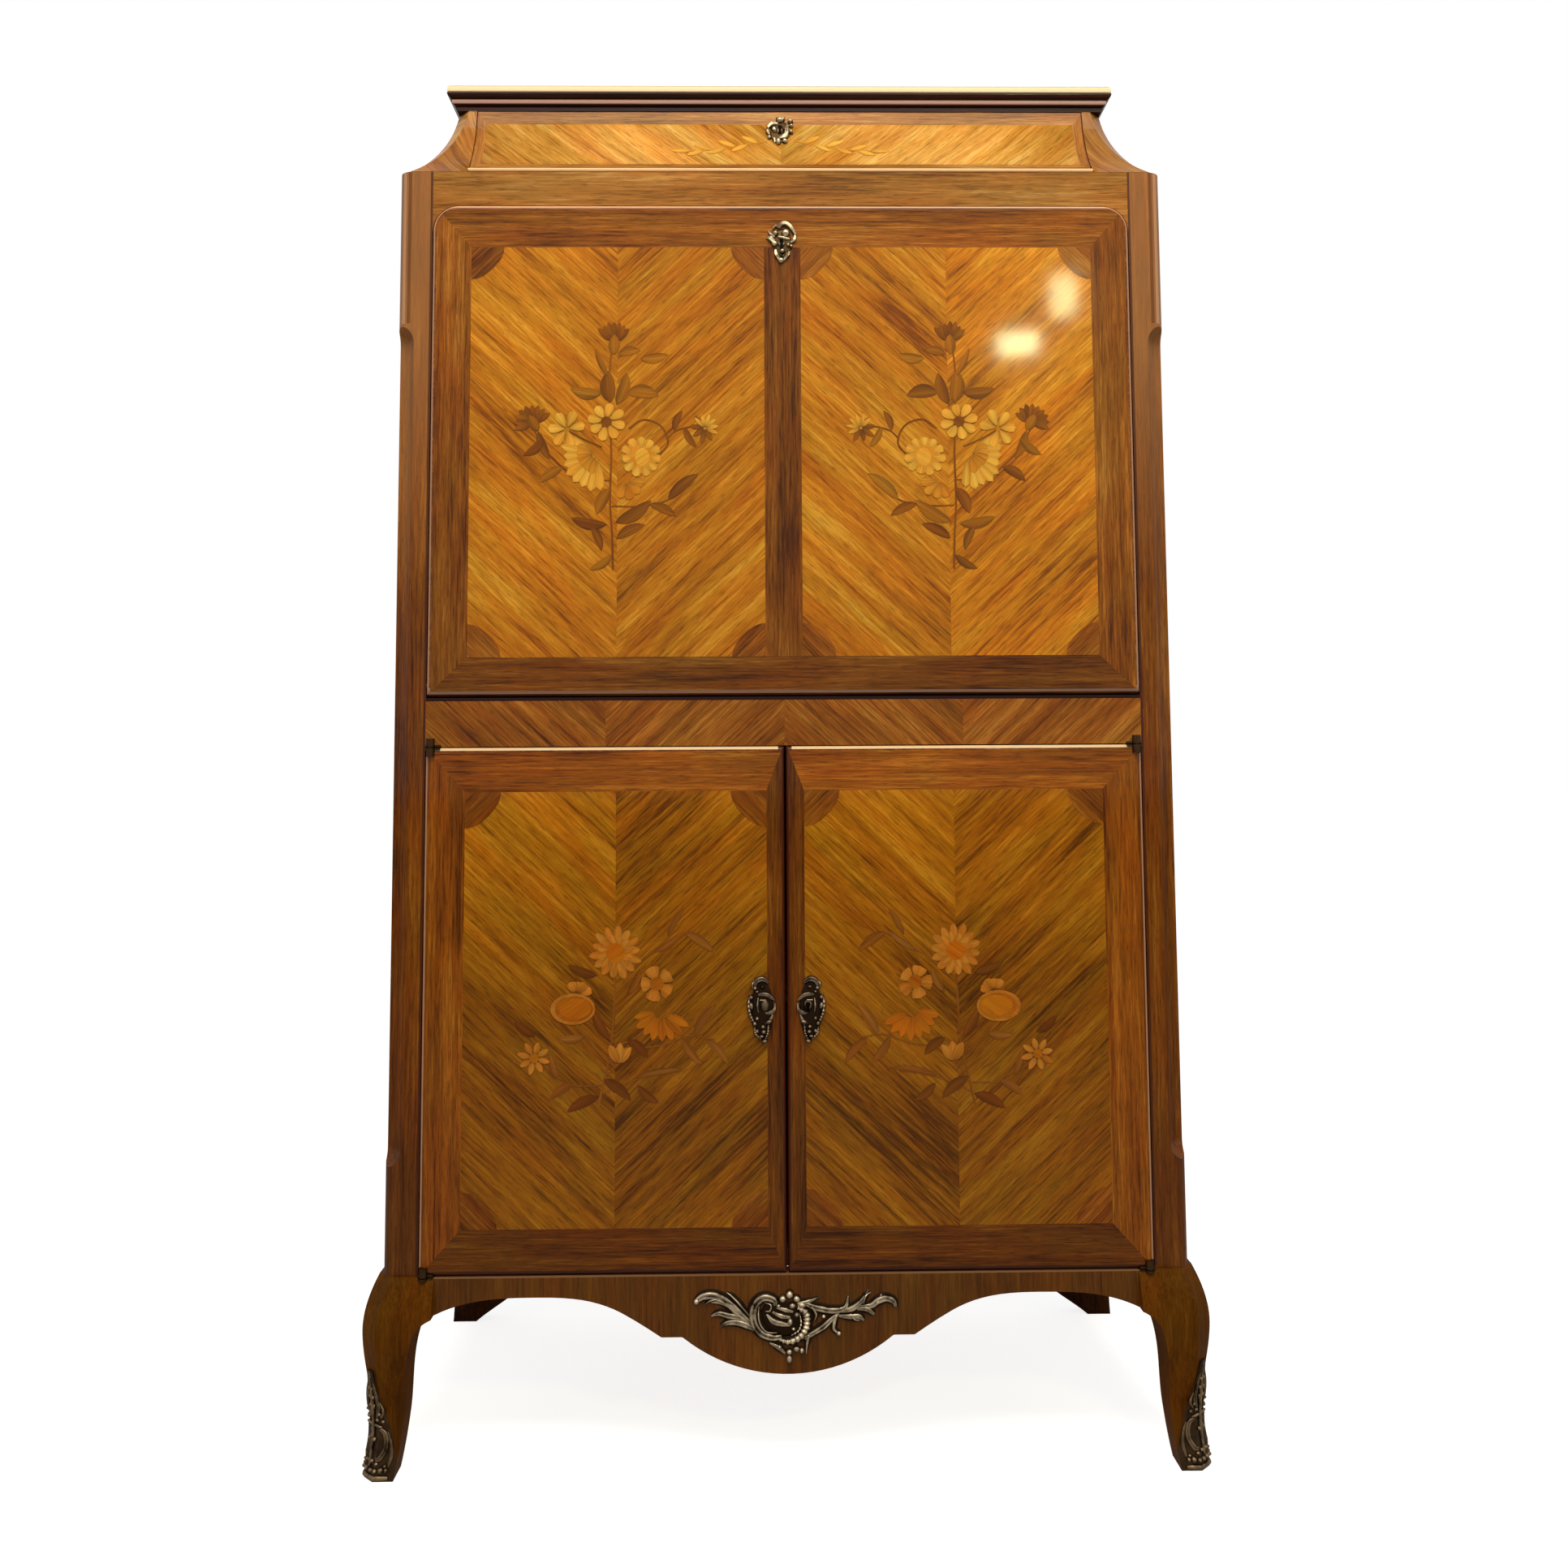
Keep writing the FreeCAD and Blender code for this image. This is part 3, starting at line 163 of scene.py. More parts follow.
def make(name, patches, material, body, smooth=True, weld=False):
    """One object from patches, riding on a body, with its veneer map, tones and shades."""
    starts = np.cumsum([0] + [p["tone"].size for p in patches])
    joined = {key: np.concatenate([p[key].reshape(p["tone"].size, -1) for p in patches])
              for key in ("points", "uv", "tone", "shade")}
    faces = np.concatenate([faces_of(*p["tone"].shape, p["wrap"], start)
                            for p, start in zip(patches, starts)])
    mesh = bpy.data.meshes.new(name)
    mesh.vertices.add(starts[-1])
    mesh.vertices.foreach_set("co", (joined["points"] * MM).astype(np.float32).ravel())
    mesh.loops.add(faces.size)
    mesh.loops.foreach_set("vertex_index", faces.ravel().astype(np.int32))
    mesh.polygons.add(len(faces))
    mesh.polygons.foreach_set("loop_start", np.arange(0, faces.size, 4, dtype=np.int32))
    mesh.polygons.foreach_set("use_smooth", np.full(len(faces), smooth))
    mesh.update(calc_edges=True)
    corner_uv = joined["uv"][faces.ravel()].astype(np.float32)
    mesh.uv_layers.new(name="veneer").data.foreach_set("uv", corner_uv.ravel())
    for label in ("tone", "shade"):
        values = mesh.attributes.new(label, "FLOAT", "POINT").data
        values.foreach_set("value", joined[label].astype(np.float32).ravel())
    if weld:
        merged = bmesh.new()
        merged.from_mesh(mesh)
        bmesh.ops.remove_doubles(merged, verts=merged.verts, dist=WELD)
        merged.to_mesh(mesh)
        merged.free()
    mesh.materials.append(material)
    piece = added(name, mesh)
    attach(piece, body)
    return piece


def veneer(name, leaves, material, body, smooth=False):
    """Leaves of veneer as one piece, flat shaded unless smooth is asked for."""
    make(name, leaves, material, body, smooth)


print("patch, skirted, grid, make and veneer are ready")

# %% [markdown]
# ## Wood under varnish
# The panels are straight-grained veneer with ribbon stripes, fine pores and a slow drift of colour.
# Each of these is the same noise, stretched by a different amount along the grain. The stretched
# place comes from the veneer map of a leaf, or from Object coordinates turned to the grain of a
# solid piece. The old varnish is thin, so its gloss is kept low and the wood's own colour shows.

# %% Node helpers
def linear(*rgb):
    """Colour written as screen values from 0 to 255, as the linear values that shaders use."""
    c = np.array(rgb, float) / 255
    return tuple(np.where(c <= 0.04045, c / 12.92, ((c + 0.055) / 1.055) ** 2.4)) + (1.0,)


class Shader:
    """Node tree of a material or a world, written as calls: each returns a node's useful output."""

    def __init__(self, owner):
        owner.use_nodes = True
        self.owner, self.tree = owner, owner.node_tree

    def add(self, kind, sockets=(), out=0, **settings):
        """A new node with its settings and sockets filled in."""
        made = self.tree.nodes.new(kind)
        for key, value in settings.items():
            setattr(made, key, value)
        for key, value in dict(sockets).items():
            self.put(made.inputs[key], value)
        return made.outputs[out]

    def put(self, socket, value):
        """A link where the value is another node's output, or else a plain value."""
        if isinstance(value, bpy.types.NodeSocket):
            self.tree.links.new(value, socket)
        else:
            socket.default_value = value

    def surface(self, node="Principled BSDF", **sockets):
        """Fills sockets of the tree's own shader node and gives back the material or world."""
        for key, value in sockets.items():
            self.put(self.tree.nodes[node].inputs[key.replace("_", " ")], value)
        return self.owner

    def math(self, operation, a, b=0.0, clamp=False):
        """Arithmetic on two values."""
        return self.add("ShaderNodeMath", {0: a, 1: b}, operation=operation, use_clamp=clamp)

    def mix(self, share, a, b, blend="MIX"):
        """Colour that goes from a to b by a share."""
        return self.add("ShaderNodeMix", {0: share, 6: a, 7: b}, out=2, data_type="RGBA", blend_type=blend)

    def span(self, value, low, high, start=0.0, end=1.0):
        """Value between low and high, spread between start and end."""
        return self.add("ShaderNodeMapRange", {"Value": value, "From Min": low, "From Max": high,
                                               "To Min": start, "To Max": end})

    def noise(self, place, stretch, detail=3.0, rough=0.55, warp=0.0):
        """Noise of a place that is first scaled by stretch, in cells to a metre."""
        scaled = self.add("ShaderNodeMapping", {"Vector": place, "Scale": stretch})
        return self.add("ShaderNodeTexNoise", {"Vector": scaled, "Scale": 1.0, "Detail": detail,
                                               "Roughness": rough, "Distortion": warp})

    def ramp(self, value, stops):
        """Colours at places from 0 to 1 along a value."""
        made = self.tree.nodes.new("ShaderNodeValToRGB")
        while len(made.color_ramp.elements) < len(stops):
            made.color_ramp.elements.new(0.5)
        for element, (place, colour) in zip(made.color_ramp.elements, stops):
            element.position, element.color = place, colour
        self.put(made.inputs[0], value)
        return made.outputs[0]

    def bump(self, height, depth, strength):
        """Normal that is tilted by the slope of a height, which spans a depth in metres."""
        return self.add("ShaderNodeBump", {"Height": height, "Distance": depth, "Strength": strength})

    def place(self, on_map=False):
        """Place on the veneer map, or else in the object's own metres."""
        return self.add("ShaderNodeTexCoord", out=2 if on_map else 3)

    def rays(self):
        """Outputs that tell what kind of ray is looking."""
        return self.tree.nodes.new("ShaderNodeLightPath").outputs

    def point(self, label):
        """Value of a point attribute."""
        return self.add("ShaderNodeAttribute", out=2, attribute_name=label)


print("node helpers are ready")

# %% Wood
X, Y, Z = 0, 1, 2
STRIPE_SHARE, LINE_SHARE, DRIFT_SHARE = 0.34, 0.36, 0.30
REDDER, GREENER = (1.06, 0.94, 0.75, 1.0), (0.94, 1.05, 1.05, 1.0)
SCORCH = linear(58, 27, 8)
FINE_RELIEF = 0.0001


def painted_light_band(tint, *limits, soft=0.6, share=1.0):
    """A band of painted light in its own colour, a painted highlight where the colour is pale and
    painted shade where it is dark: each limit is an axis and two places on it in millimetres,
    with soft borders, and the band lies where all of them hold."""
    return linear(*tint), limits, soft, share


def wood(name, colours, along=None, stripe=75.0, pore=0.35, fleck=0.45, coat=0.15, gloss=0.34, sheen=0.06,
         wear_and_painted_light=()):
    """Veneer or board. colours run from the darkest stripe to the lightest. along is the turn that
    brings the grain of a solid piece onto x; leaves of veneer leave it out and use their own map.
    The colour follows a weighted sum of a slow drift, ribbon stripes and fine lines, with short dark
    flecks and pores over it, and a slow noise turns it a little to red or to olive. The last argument
    lists bands of painted highlight and painted shade along the edges of mouldings and panels."""
    s = Shader(bpy.data.materials.new(name))
    where = s.place(on_map=along is None)
    if along is not None:
        where = s.add("ShaderNodeMapping", {"Vector": where, "Rotation": along})

    def streaks(length, width, detail, rough, warp=0.1):
        """Noise with so many cells to a metre along the grain and across it."""
        return s.noise(where, (length, width, width), detail, rough, warp)

    drift = streaks(4.0, 15.0, 3.0, 0.55, 0.4)
    warmth = streaks(7.0, 34.0, 3.0, 0.6, 0.3)
    flecks = streaks(60.0, 6.5 * stripe, 3.0, 0.65)
    stripes = streaks(3.5, stripe, 5.0, 0.62)
    lines = streaks(22.0, 4.6 * stripe, 4.0, 0.65)
    pores = streaks(42.0, 1900.0, 2.0, 0.5, 0.0)
    value = s.math("ADD", s.math("MULTIPLY", stripes, STRIPE_SHARE), s.math("MULTIPLY", lines, LINE_SHARE))
    value = s.math("ADD", value, s.math("MULTIPLY", drift, DRIFT_SHARE))
    value = s.span(value, 0.4, 0.6)
    colour = s.ramp(value, [(i / (len(colours) - 1), linear(*c)) for i, c in enumerate(colours)])
    holes = s.span(pores, 0.56, 0.72, 0.0, pore)
    dark = tuple(0.35 * x for x in linear(*colours[0])[:3]) + (1.0,)
    colour = s.mix(s.span(flecks, 0.52, 0.66, 0.0, fleck), colour, dark)
    colour = s.mix(holes, colour, dark)
    turned = s.mix(s.span(warmth, 0.35, 0.65), REDDER, GREENER)
    colour = s.mix(1.0, colour, turned, "MULTIPLY")
    # Bands of painted highlight and painted shade, mixed over the wood's colour where their limits hold.
    for tint, limits, soft, share in wear_and_painted_light:
        inside = share
        for axis, low, high in limits:
            spot = s.add("ShaderNodeSeparateXYZ", {"Vector": s.place()}, out=axis)
            for outer, inner in ((low - soft, low), (high + soft, high)):
                inside = s.math("MULTIPLY", s.span(spot, outer * MM, inner * MM), inside)
        colour = s.mix(inside, colour, tint)
    if along is None:
        tone = s.point("tone")
        grey = s.add("ShaderNodeCombineColor", {0: tone, 1: tone, 2: tone})
        colour = s.mix(1.0, colour, grey, "MULTIPLY")
        colour = s.mix(s.point("shade"), colour, SCORCH)
    rough = s.span(stripes, 0.3, 0.7, gloss, gloss + 0.12)
    relief = s.math("SUBTRACT", lines, s.math("MULTIPLY", holes, 1.5))
    return s.surface(Base_Color=colour, Roughness=rough, Coat_Weight=coat, Coat_Roughness=0.07,
                     Specular_IOR_Level=sheen, Normal=s.bump(relief, FINE_RELIEF, 0.4))


# %% [markdown]
# ## Which wood where
# The fields of the panels are a golden striped wood, and the bands round them a brown one. The
# solid pieces of the carcase take the brown wood with the grain the way the real piece has it:
# upright on posts, legs and the front apron, level on rails, from front to back on the side aprons.
# The turn about an axis does that. The rounded edges of fall and doors are glossy. Their bright lines
# are painted highlight and their dark lines painted shade, and other mouldings carry such bands too.

# %% Wood finishes
UPRIGHT, LEVEL, DEEP = (0.0, math.pi / 2, 0.0), (0.0, 0.0, 0.0), (0.0, 0.0, -math.pi / 2)
straw = [(150, 90, 24), (200, 132, 48), (218, 154, 66), (238, 184, 100)]
gold = [(124, 64, 6), (180, 104, 12), (202, 126, 22), (226, 156, 46)]
amber = [(104, 55, 3), (160, 92, 6), (186, 113, 10), (210, 138, 28)]
sand = [(112, 64, 18), (150, 94, 32), (168, 110, 46), (190, 136, 70)]
brown = [(78, 36, 4), (124, 66, 10), (148, 84, 18), (178, 112, 40)]
umber = [(68, 30, 3), (110, 55, 6), (130, 69, 9), (156, 92, 24)]
deep = [(54, 25, 3), (86, 44, 6), (104, 57, 9), (130, 77, 20)]
calm = [(74, 39, 4), (92, 50, 6), (102, 57, 8), (116, 67, 13)]
dusk = [(40, 18, 7), (58, 29, 12), (70, 36, 16), (84, 46, 22)]
ebony = [(30, 9, 4), (42, 14, 7), (50, 19, 9), (62, 26, 13)]
honey = [(150, 104, 56), (176, 128, 74), (192, 146, 90), (206, 162, 106)]
stain = [(70, 46, 28), (92, 62, 38), (106, 74, 46), (120, 86, 56)]

BOARD = dict(stripe=110.0, pore=0.45)
QUIET = dict(stripe=110.0, pore=0.35, fleck=0.3)
EDGE = dict(stripe=110.0, pore=0.4, coat=0.3)
POLISH = dict(stripe=110.0, pore=0.4, coat=0.1, gloss=0.25, sheen=0.1)
LINING = dict(stripe=90.0, pore=0.4, coat=0.0, gloss=0.5)

field_straw, field_gold, field_amber = [
    wood("field_" + label, colours, stripe=85.0)
    for label, colours in (("straw", straw), ("gold", gold), ("amber", amber))]
band_brown, band_umber, band_sand = [
    wood("band_" + label, colours, **BOARD)
    for label, colours in (("brown", brown), ("umber", umber), ("sand", sand))]
lining_level, lining_upright, lining_deep = [
    wood("lining_" + label, honey, turn, **LINING)
    for label, turn in (("level", LEVEL), ("upright", UPRIGHT), ("deep", DEEP))]
frieze_level = wood("frieze_level", sand, LEVEL, **BOARD)
cove_upright = wood("cove_upright", sand, UPRIGHT, **BOARD)
# A painted highlight along the drawer front's lower edge.
drawer_level = wood("drawer_level", brown, LEVEL, **BOARD,
                    wear_and_painted_light=[painted_light_band((232, 188, 136), (Z, 1237.6, 1242.4))])
# Painted shadow along the rail's top edge, under the fall.
mid_level = wood("mid_level", brown, LEVEL, **BOARD, wear_and_painted_light=[painted_light_band((38, 10, 4), (Z, 711.8, 716.0))])
# Painted lines on the posts: painted shade beside the gaps to the fall and doors, and above the hollow a
# painted shade line and a painted highlight line on the rounded corner.
post_painted_light_lines = [painted_light_band(tint, (X, *sorted((side * near, side * far))), (Z, low, 1240.0), soft=0.5, share=share)
              for side in (-1, 1) for tint, near, far, low, share in (
                  ((62, 26, 12), 343.0, 346.0, 180.0, 0.8), ((84, 42, 20), 365.0, 368.0, 1083.0, 0.6),
                  ((206, 156, 118), 370.5, 373.5, 1083.0, 0.6))]
# The posts are painted lighter towards the top, as painted light, and darker towards the foot, as painted
# shade.
post_upright = wood("post_upright", umber, UPRIGHT, **BOARD, wear_and_painted_light=[
    painted_light_band((186, 128, 76), (Z, 1060.0, 1300.0), soft=240.0, share=0.42),
    painted_light_band((62, 26, 4), (Z, 100.0, 240.0), soft=260.0, share=0.4), *post_painted_light_lines])
# A thin painted highlight along the apron's top edge.
apron_upright = wood("apron_upright", calm, UPRIGHT, **QUIET,
                     wear_and_painted_light=[painted_light_band((150, 106, 72), (Z, 176.2, 180.0), share=0.8)])
carcase_upright = wood("carcase_upright", deep, UPRIGHT, **BOARD)
leg_upright = wood("leg_upright", calm, UPRIGHT, **QUIET, coat=0.0, gloss=0.45, sheen=0.03)
# The rear legs take a darker brown, as painted shade.
rear_upright = wood("rear_upright", dusk, UPRIGHT, **BOARD, coat=0.0)
carcase_deep = wood("carcase_deep", deep, DEEP, **BOARD)
# A painted highlight along a bead of the cornice.
cornice_polish_painted_highlight = wood("cornice_polish_painted_highlight", ebony, LEVEL, **POLISH,
                      wear_and_painted_light=[painted_light_band((186, 144, 130), (Z, 1327.6, 1330.6), soft=0.8)])
# The top board's edge is painted pale tan, cream over its lower part, as painted highlight.
top_polish_painted_highlight = wood("top_polish_painted_highlight", ebony, LEVEL, **POLISH, wear_and_painted_light=[
    painted_light_band((158, 138, 98), (Z, 1338.0, 1346.0)), painted_light_band((244, 212, 166), (Z, 1338.0, 1343.4))])
panel_face = edges("fall_panel")[0][1]
rounded = (Y, panel_face - 5.0, panel_face + 4.5)
# A thin painted highlight line round the rounded edge of the fall and the doors.
painted_edge_highlight = painted_light_band((188, 138, 104), (Y, panel_face + 0.5, panel_face + 2.2), soft=0.3)
# The fall's edge: painted shade at its foot with a painted highlight line above it, and a painted highlight
# along its top.
fall_edge = wood("fall_edge", umber, LEVEL, **EDGE, wear_and_painted_light=[
    painted_edge_highlight, painted_light_band((44, 14, 6), (Z, 715.0, 718.0), rounded), painted_light_band((176, 134, 112), (Z, 718.8, 722.0), rounded),
    painted_light_band((226, 176, 130), (Z, 1198.4, 1202.0), rounded)])
# The doors' edges: a painted highlight along the top, painted shade along the foot and painted shade where
# the two doors meet.
door_edge = wood("door_edge", umber, UPRIGHT, **EDGE, wear_and_painted_light=[
    painted_edge_highlight, painted_light_band((240, 202, 152), (Z, 664.6, 669.0), rounded), painted_light_band((64, 26, 10), (Z, 177.0, 182.5), rounded),
    painted_light_band((74, 28, 6), (X, -6.0, 6.0), rounded, soft=1.0)])
back_stain = wood("back_stain", stain, UPRIGHT, 60.0, 0.5, coat=0.0, gloss=0.65)
print("woods", len(bpy.data.materials))

# %% [markdown]
# ## Bronze, brass, steel and leather
# The mounts are cast and chased bronze that was once gilt: bright where hands and cloths have rubbed
# the ridges, dark in the hollows. The bright crests also stand in for glints, as painted highlight.
# The sculpted pieces carry their hollows as the shade attribute, and a slow noise breaks it up.
# Leather is a pebbled grain made from cells.

# %% Metals and leather
def metal(name, bright, dark, rough, patina):
    """Cast metal: bright where it is rubbed and on its crests, partly as painted highlight, dark in its
    hollows and where a slow noise says so.
    """
    s = Shader(bpy.data.materials.new(name))
    where = s.place()
    cloud = s.noise(where, (90.0, 90.0, 90.0), 4.0, 0.6)
    grain = s.noise(where, (900.0, 900.0, 900.0), 2.0, 0.6)
    wear_and_painted_light = s.span(cloud, 0.4 - patina, 0.4 + patina)
    share = s.math("SUBTRACT", wear_and_painted_light, s.point("shade"), clamp=True)
    colour = s.mix(share, linear(*dark), linear(*bright))
    shine = s.span(share, 0.0, 1.0, rough + 0.22, rough)
    return s.surface(Base_Color=colour, Metallic=1.0, Roughness=shine,
                     Normal=s.bump(grain, FINE_RELIEF, 0.5))


def hide(name, colour, fold):
    """Leather: a pebbled grain of cells over a slow change of colour."""
    s = Shader(bpy.data.materials.new(name))
    where = s.place()
    cells = s.add("ShaderNodeTexVoronoi", {"Vector": where, "Scale": 620.0}, feature="DISTANCE_TO_EDGE")
    drift = s.noise(where, (14.0, 14.0, 14.0), 4.0)
    tint = s.mix(drift, linear(*fold), linear(*colour))
    tint = s.mix(s.span(cells, 0.0, 0.25, 0.35, 0.0), tint, linear(*(0.5 * c for c in fold)))
    return s.surface(Base_Color=tint, Roughness=0.5, Specular_IOR_Level=0.4,
                     Normal=s.bump(cells, 2 * FINE_RELIEF, 0.5))


bronze = metal("bronze", (208, 188, 158), (40, 28, 17), 0.28, 0.22)
# A lighter copy of the bronze for the fall and drawer plates, painted light for their stronger light.
bright_bronze = metal("bright_bronze", (224, 206, 170), (74, 54, 32), 0.26, 0.2)
plate_bronze = metal("plate_bronze", (150, 128, 104), (42, 29, 19), 0.3, 0.22)
shoe_bronze = metal("shoe_bronze", (70, 51, 34), (32, 21, 13), 0.42, 0.25)
sabot_bronze = metal("sabot_bronze", (140, 116, 86), (36, 25, 15), 0.32, 0.2)
brass = metal("brass", (176, 146, 90), (96, 74, 40), 0.32, 0.3)
dull_brass = metal("dull_brass", (70, 50, 32), (38, 25, 15), 0.42, 0.3)
steel = metal("steel", (150, 148, 146), (84, 82, 80), 0.36, 0.3)
gilding = metal("gilding", (214, 176, 96), (170, 130, 60), 0.3, 0.3)
leather = hide("leather", (104, 58, 30), (74, 38, 18))
print("metals and leather are ready")

# %% [markdown]
# ## Finish the CAD nodes
# The solid pieces keep their own meshes and only take a material. Every node is in the list once.

# %% CAD finishes
finishes = {
    carcase_upright: ["left_side_panel", "right_side_panel"],
    leg_upright: ["front_left_leg", "front_right_leg"],
    rear_upright: ["rear_left_leg", "rear_right_leg"],
    post_upright: ["left_post", "right_post"],
    cove_upright: ["left_cove", "right_cove"],
    fall_edge: ["fall_panel"],
    door_edge: ["left_door", "right_door"],
    mid_level: ["mid_rail"],
    apron_upright: ["front_apron"],
    frieze_level: ["frieze_rail"],
    drawer_level: ["drawer_front"],
    cornice_polish_painted_highlight: ["cornice_moulding"],
    top_polish_painted_highlight: ["top_board"],
    carcase_deep: ["left_apron", "right_apron"],
    lining_level: ["bottom_board", "writing_floor", "dust_board", "cupboard_shelf", "drawer_back",
                   "drawer_bottom"],
    lining_deep: ["shelf_battens", "drawer_sides", "small_drawer_left", "small_drawer_right",
                  "nest_partitions"],
    lining_upright: ["nest_cheeks"],
    back_stain: ["back_panel", "rear_apron"],
    shoe_bronze: ["sabots"],
    bronze: ["apron_mount", "drawer_escutcheon", "fall_escutcheon", "left_door_escutcheon",
             "right_door_escutcheon"],
    dull_brass: ["door_pivots", "left_door_hinges", "right_door_hinges"],
    brass: ["stay_studs", "fall_pivots", "drawer_lock", "fall_lock", "door_lock", "fall_pivot_plates",
            "stay_brackets", "left_stay", "right_stay", "small_knob_left", "small_knob_right"],
    steel: ["drawer_lock_bolt", "fall_lock_bolt", "door_lock_bolt"],
    leather: ["fall_leather"],
}
for material, names in finishes.items():
    for name in names:
        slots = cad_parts[name].data.materials
        slots.clear()
        slots.append(material)
left_out = set(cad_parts) - {n for names in finishes.values() for n in names}
print("finished", sum(map(len, finishes.values())), "CAD nodes, left out", sorted(left_out))

# %% [markdown]
# ## Leaves of veneer
# A panel is laid out as the marquetry cutter does it: a field of two leaves whose grain meets in a
# V, bands with mitred corners round it, and a quarter disc let into each corner of the field. A
# leaf is a four-cornered grid, and its veneer map turns with the grain. A wall is a function that
# takes a place across, a place up and a height off the surface into the frame.

# %% Walls
LEAF = 0.3
post_top = edges("left_post")[1][2]
front_y = edges("left_post")[0][1]
panel_y = edges("fall_panel")[0][1]
side_x = edges("right_side_panel")[1][0]
top_z = edges("top_board")[1][2]
cove_recess, cove_rise, cove_hollow = 46.0, 84.0, 8.0


def front_wall(y):
    """Upright wall that looks to the front at the depth y."""
    return (lambda a, b, h: np.stack([a, y - h, b], -1)), (0, -1, 0)


def side_wall(side):
    """Outer face of a side: side is -1 on the left and 1 on the right."""
    return (lambda a, b, h: np.stack([side * (side_x + h), a, b], -1)), (side, 0, 0)


def top_wall(z):
    """Level surface that looks up at the height z."""
    return (lambda a, b, h: np.stack([a, b, z + h], -1)), (0, 0, 1)


def inner_wall(y):
    """Upright wall that looks to the back at the depth y."""
    return (lambda a, b, h: np.stack([a, y + h, b], -1)), (0, 1, 0)


def cove_inset(rise):
    """How far in the cove lies at a height above the posts: a circle through both ends of its chord,
    hollowed by cove_hollow in the middle."""
    chord = math.hypot(cove_recess, cove_rise)
    radius = chord ** 2 / (8 * cove_hollow) + cove_hollow / 2
    off = (radius - cove_hollow) / chord
    centre_in, centre_up = cove_recess / 2 - off * cove_rise, cove_rise / 2 + off * cove_recess
    return centre_in + np.sqrt(radius ** 2 - (rise - centre_up) ** 2)


def cove_place(a, b, h):
    """Place on the drawer's hollow face: the height off it runs along the normal of the circle."""
    slope = cove_inset(b - post_top + 0.5) - cove_inset(b - post_top - 0.5)
    norm = np.sqrt(1 + slope ** 2)
    return np.stack([a, front_y + cove_inset(b - post_top) - h / norm, b + h * slope / norm], -1)


cove_wall = (cove_place, (0, -0.87, 0.49))
print("walls at", front_y, panel_y, side_x, top_z)

# %% Leaves
SHEET = 40
DISC_TONE, DISC_FLAT = 1.1, 0.07
LEVEL_GRAIN, UPRIGHT_GRAIN, V_GRAIN = 0.0, math.pi / 2, math.radians(43)


def veneer_map(a, b, angle):
    """Place on the sheet of veneer in metres: turned by angle so that u runs along the grain, and
    moved by a random amount, as if each leaf were cut from another part of the sheet."""
    c, s = math.cos(angle), math.sin(angle)
    return np.stack([a * c + b * s, b * c - a * s], -1) * MM + rng.uniform(0, SHEET, 2)


def ruled(wall, first, second, angle, tone=1.0, rows=2, lift=LEAF):
    """Leaf between two lines of points: each row is a mean of the two by its share of the way."""
    place, facing = wall
    share = np.linspace(0, 1, rows)[:, None, None]
    lines = (1 - share) * np.asarray(first, float) + share * np.asarray(second, float)
    a, b = lines[..., 0], lines[..., 1]
    uv = veneer_map(a, b, angle)
    return skirted(place(a, b, np.full_like(a, lift)), uv, facing, lift + LEAF, tone)


def leaf(wall, corners, angle, tone=1.0, cells=(2, 2)):
    """Four-cornered leaf: the corners run round it, and both long edges are cut into equal steps."""
    corners = np.asarray(corners, float)
    share = np.linspace(0, 1, cells[1])[:, None]
    first = (1 - share) * corners[0] + share * corners[1]
    second = (1 - share) * corners[3] + share * corners[2]
    return ruled(wall, first, second, angle, tone, cells[0])


def rectangle(a0, a1, b0, b1):
    """Corners of an upright rectangle, in order round it."""
    return [(a0, b0), (a1, b0), (a1, b1), (a0, b1)]


def shrunk(box, width):
    """Upright rectangle whose four sides have moved in by a width."""
    return box[0] + width, box[1] - width, box[2] + width, box[3] - width


def matched_field(wall, a0, a1, b0, b1, tones=(1.0, 0.95), rows=2, painted_shade_ramp=(1.0, 1.0)):
    """Two leaves that meet upright in the middle, their grain falling towards the joint. The last
    argument scales the tone from the lower edge to the upper one, as painted shade where it is below one."""
    middle = (a0 + a1) / 2
    rows = max(rows, len(painted_shade_ramp))
    scale = np.interp(np.linspace(0, 1, rows), np.linspace(0, 1, len(painted_shade_ramp)), painted_shade_ramp)[:, None]
    return [leaf(wall, rectangle(a0, middle, b0, b1), -V_GRAIN, tones[0] * scale, (rows, 2)),
            leaf(wall, rectangle(middle, a1, b0, b1), V_GRAIN, tones[1] * scale, (rows, 2))]


def mitred_bands(wall, outer, inner, steps=2, tones=None):
    """Four bands between two upright rectangles, mitred where they meet, grain along each. The tones
    are those of the lower, upper, first and second side band."""
    (oa0, oa1, ob0, ob1), (ia0, ia1, ib0, ib1) = outer, inner
    tone = rng.uniform(0.92, 1.08, 4) if tones is None else tones
    level = [leaf(wall, [(oa0, o), (oa1, o), (ia1, i), (ia0, i)], LEVEL_GRAIN, t, (3, 2))
             for o, i, t in ((ob0, ib0, tone[0]), (ob1, ib1, tone[1]))]
    upright = [leaf(wall, [(o, ob0), (o, ob1), (i, ib1), (i, ib0)], UPRIGHT_GRAIN, t, (2, steps))
               for o, i, t in ((oa0, ia0, tone[2]), (oa1, ia1, tone[3]))]
    return level + upright


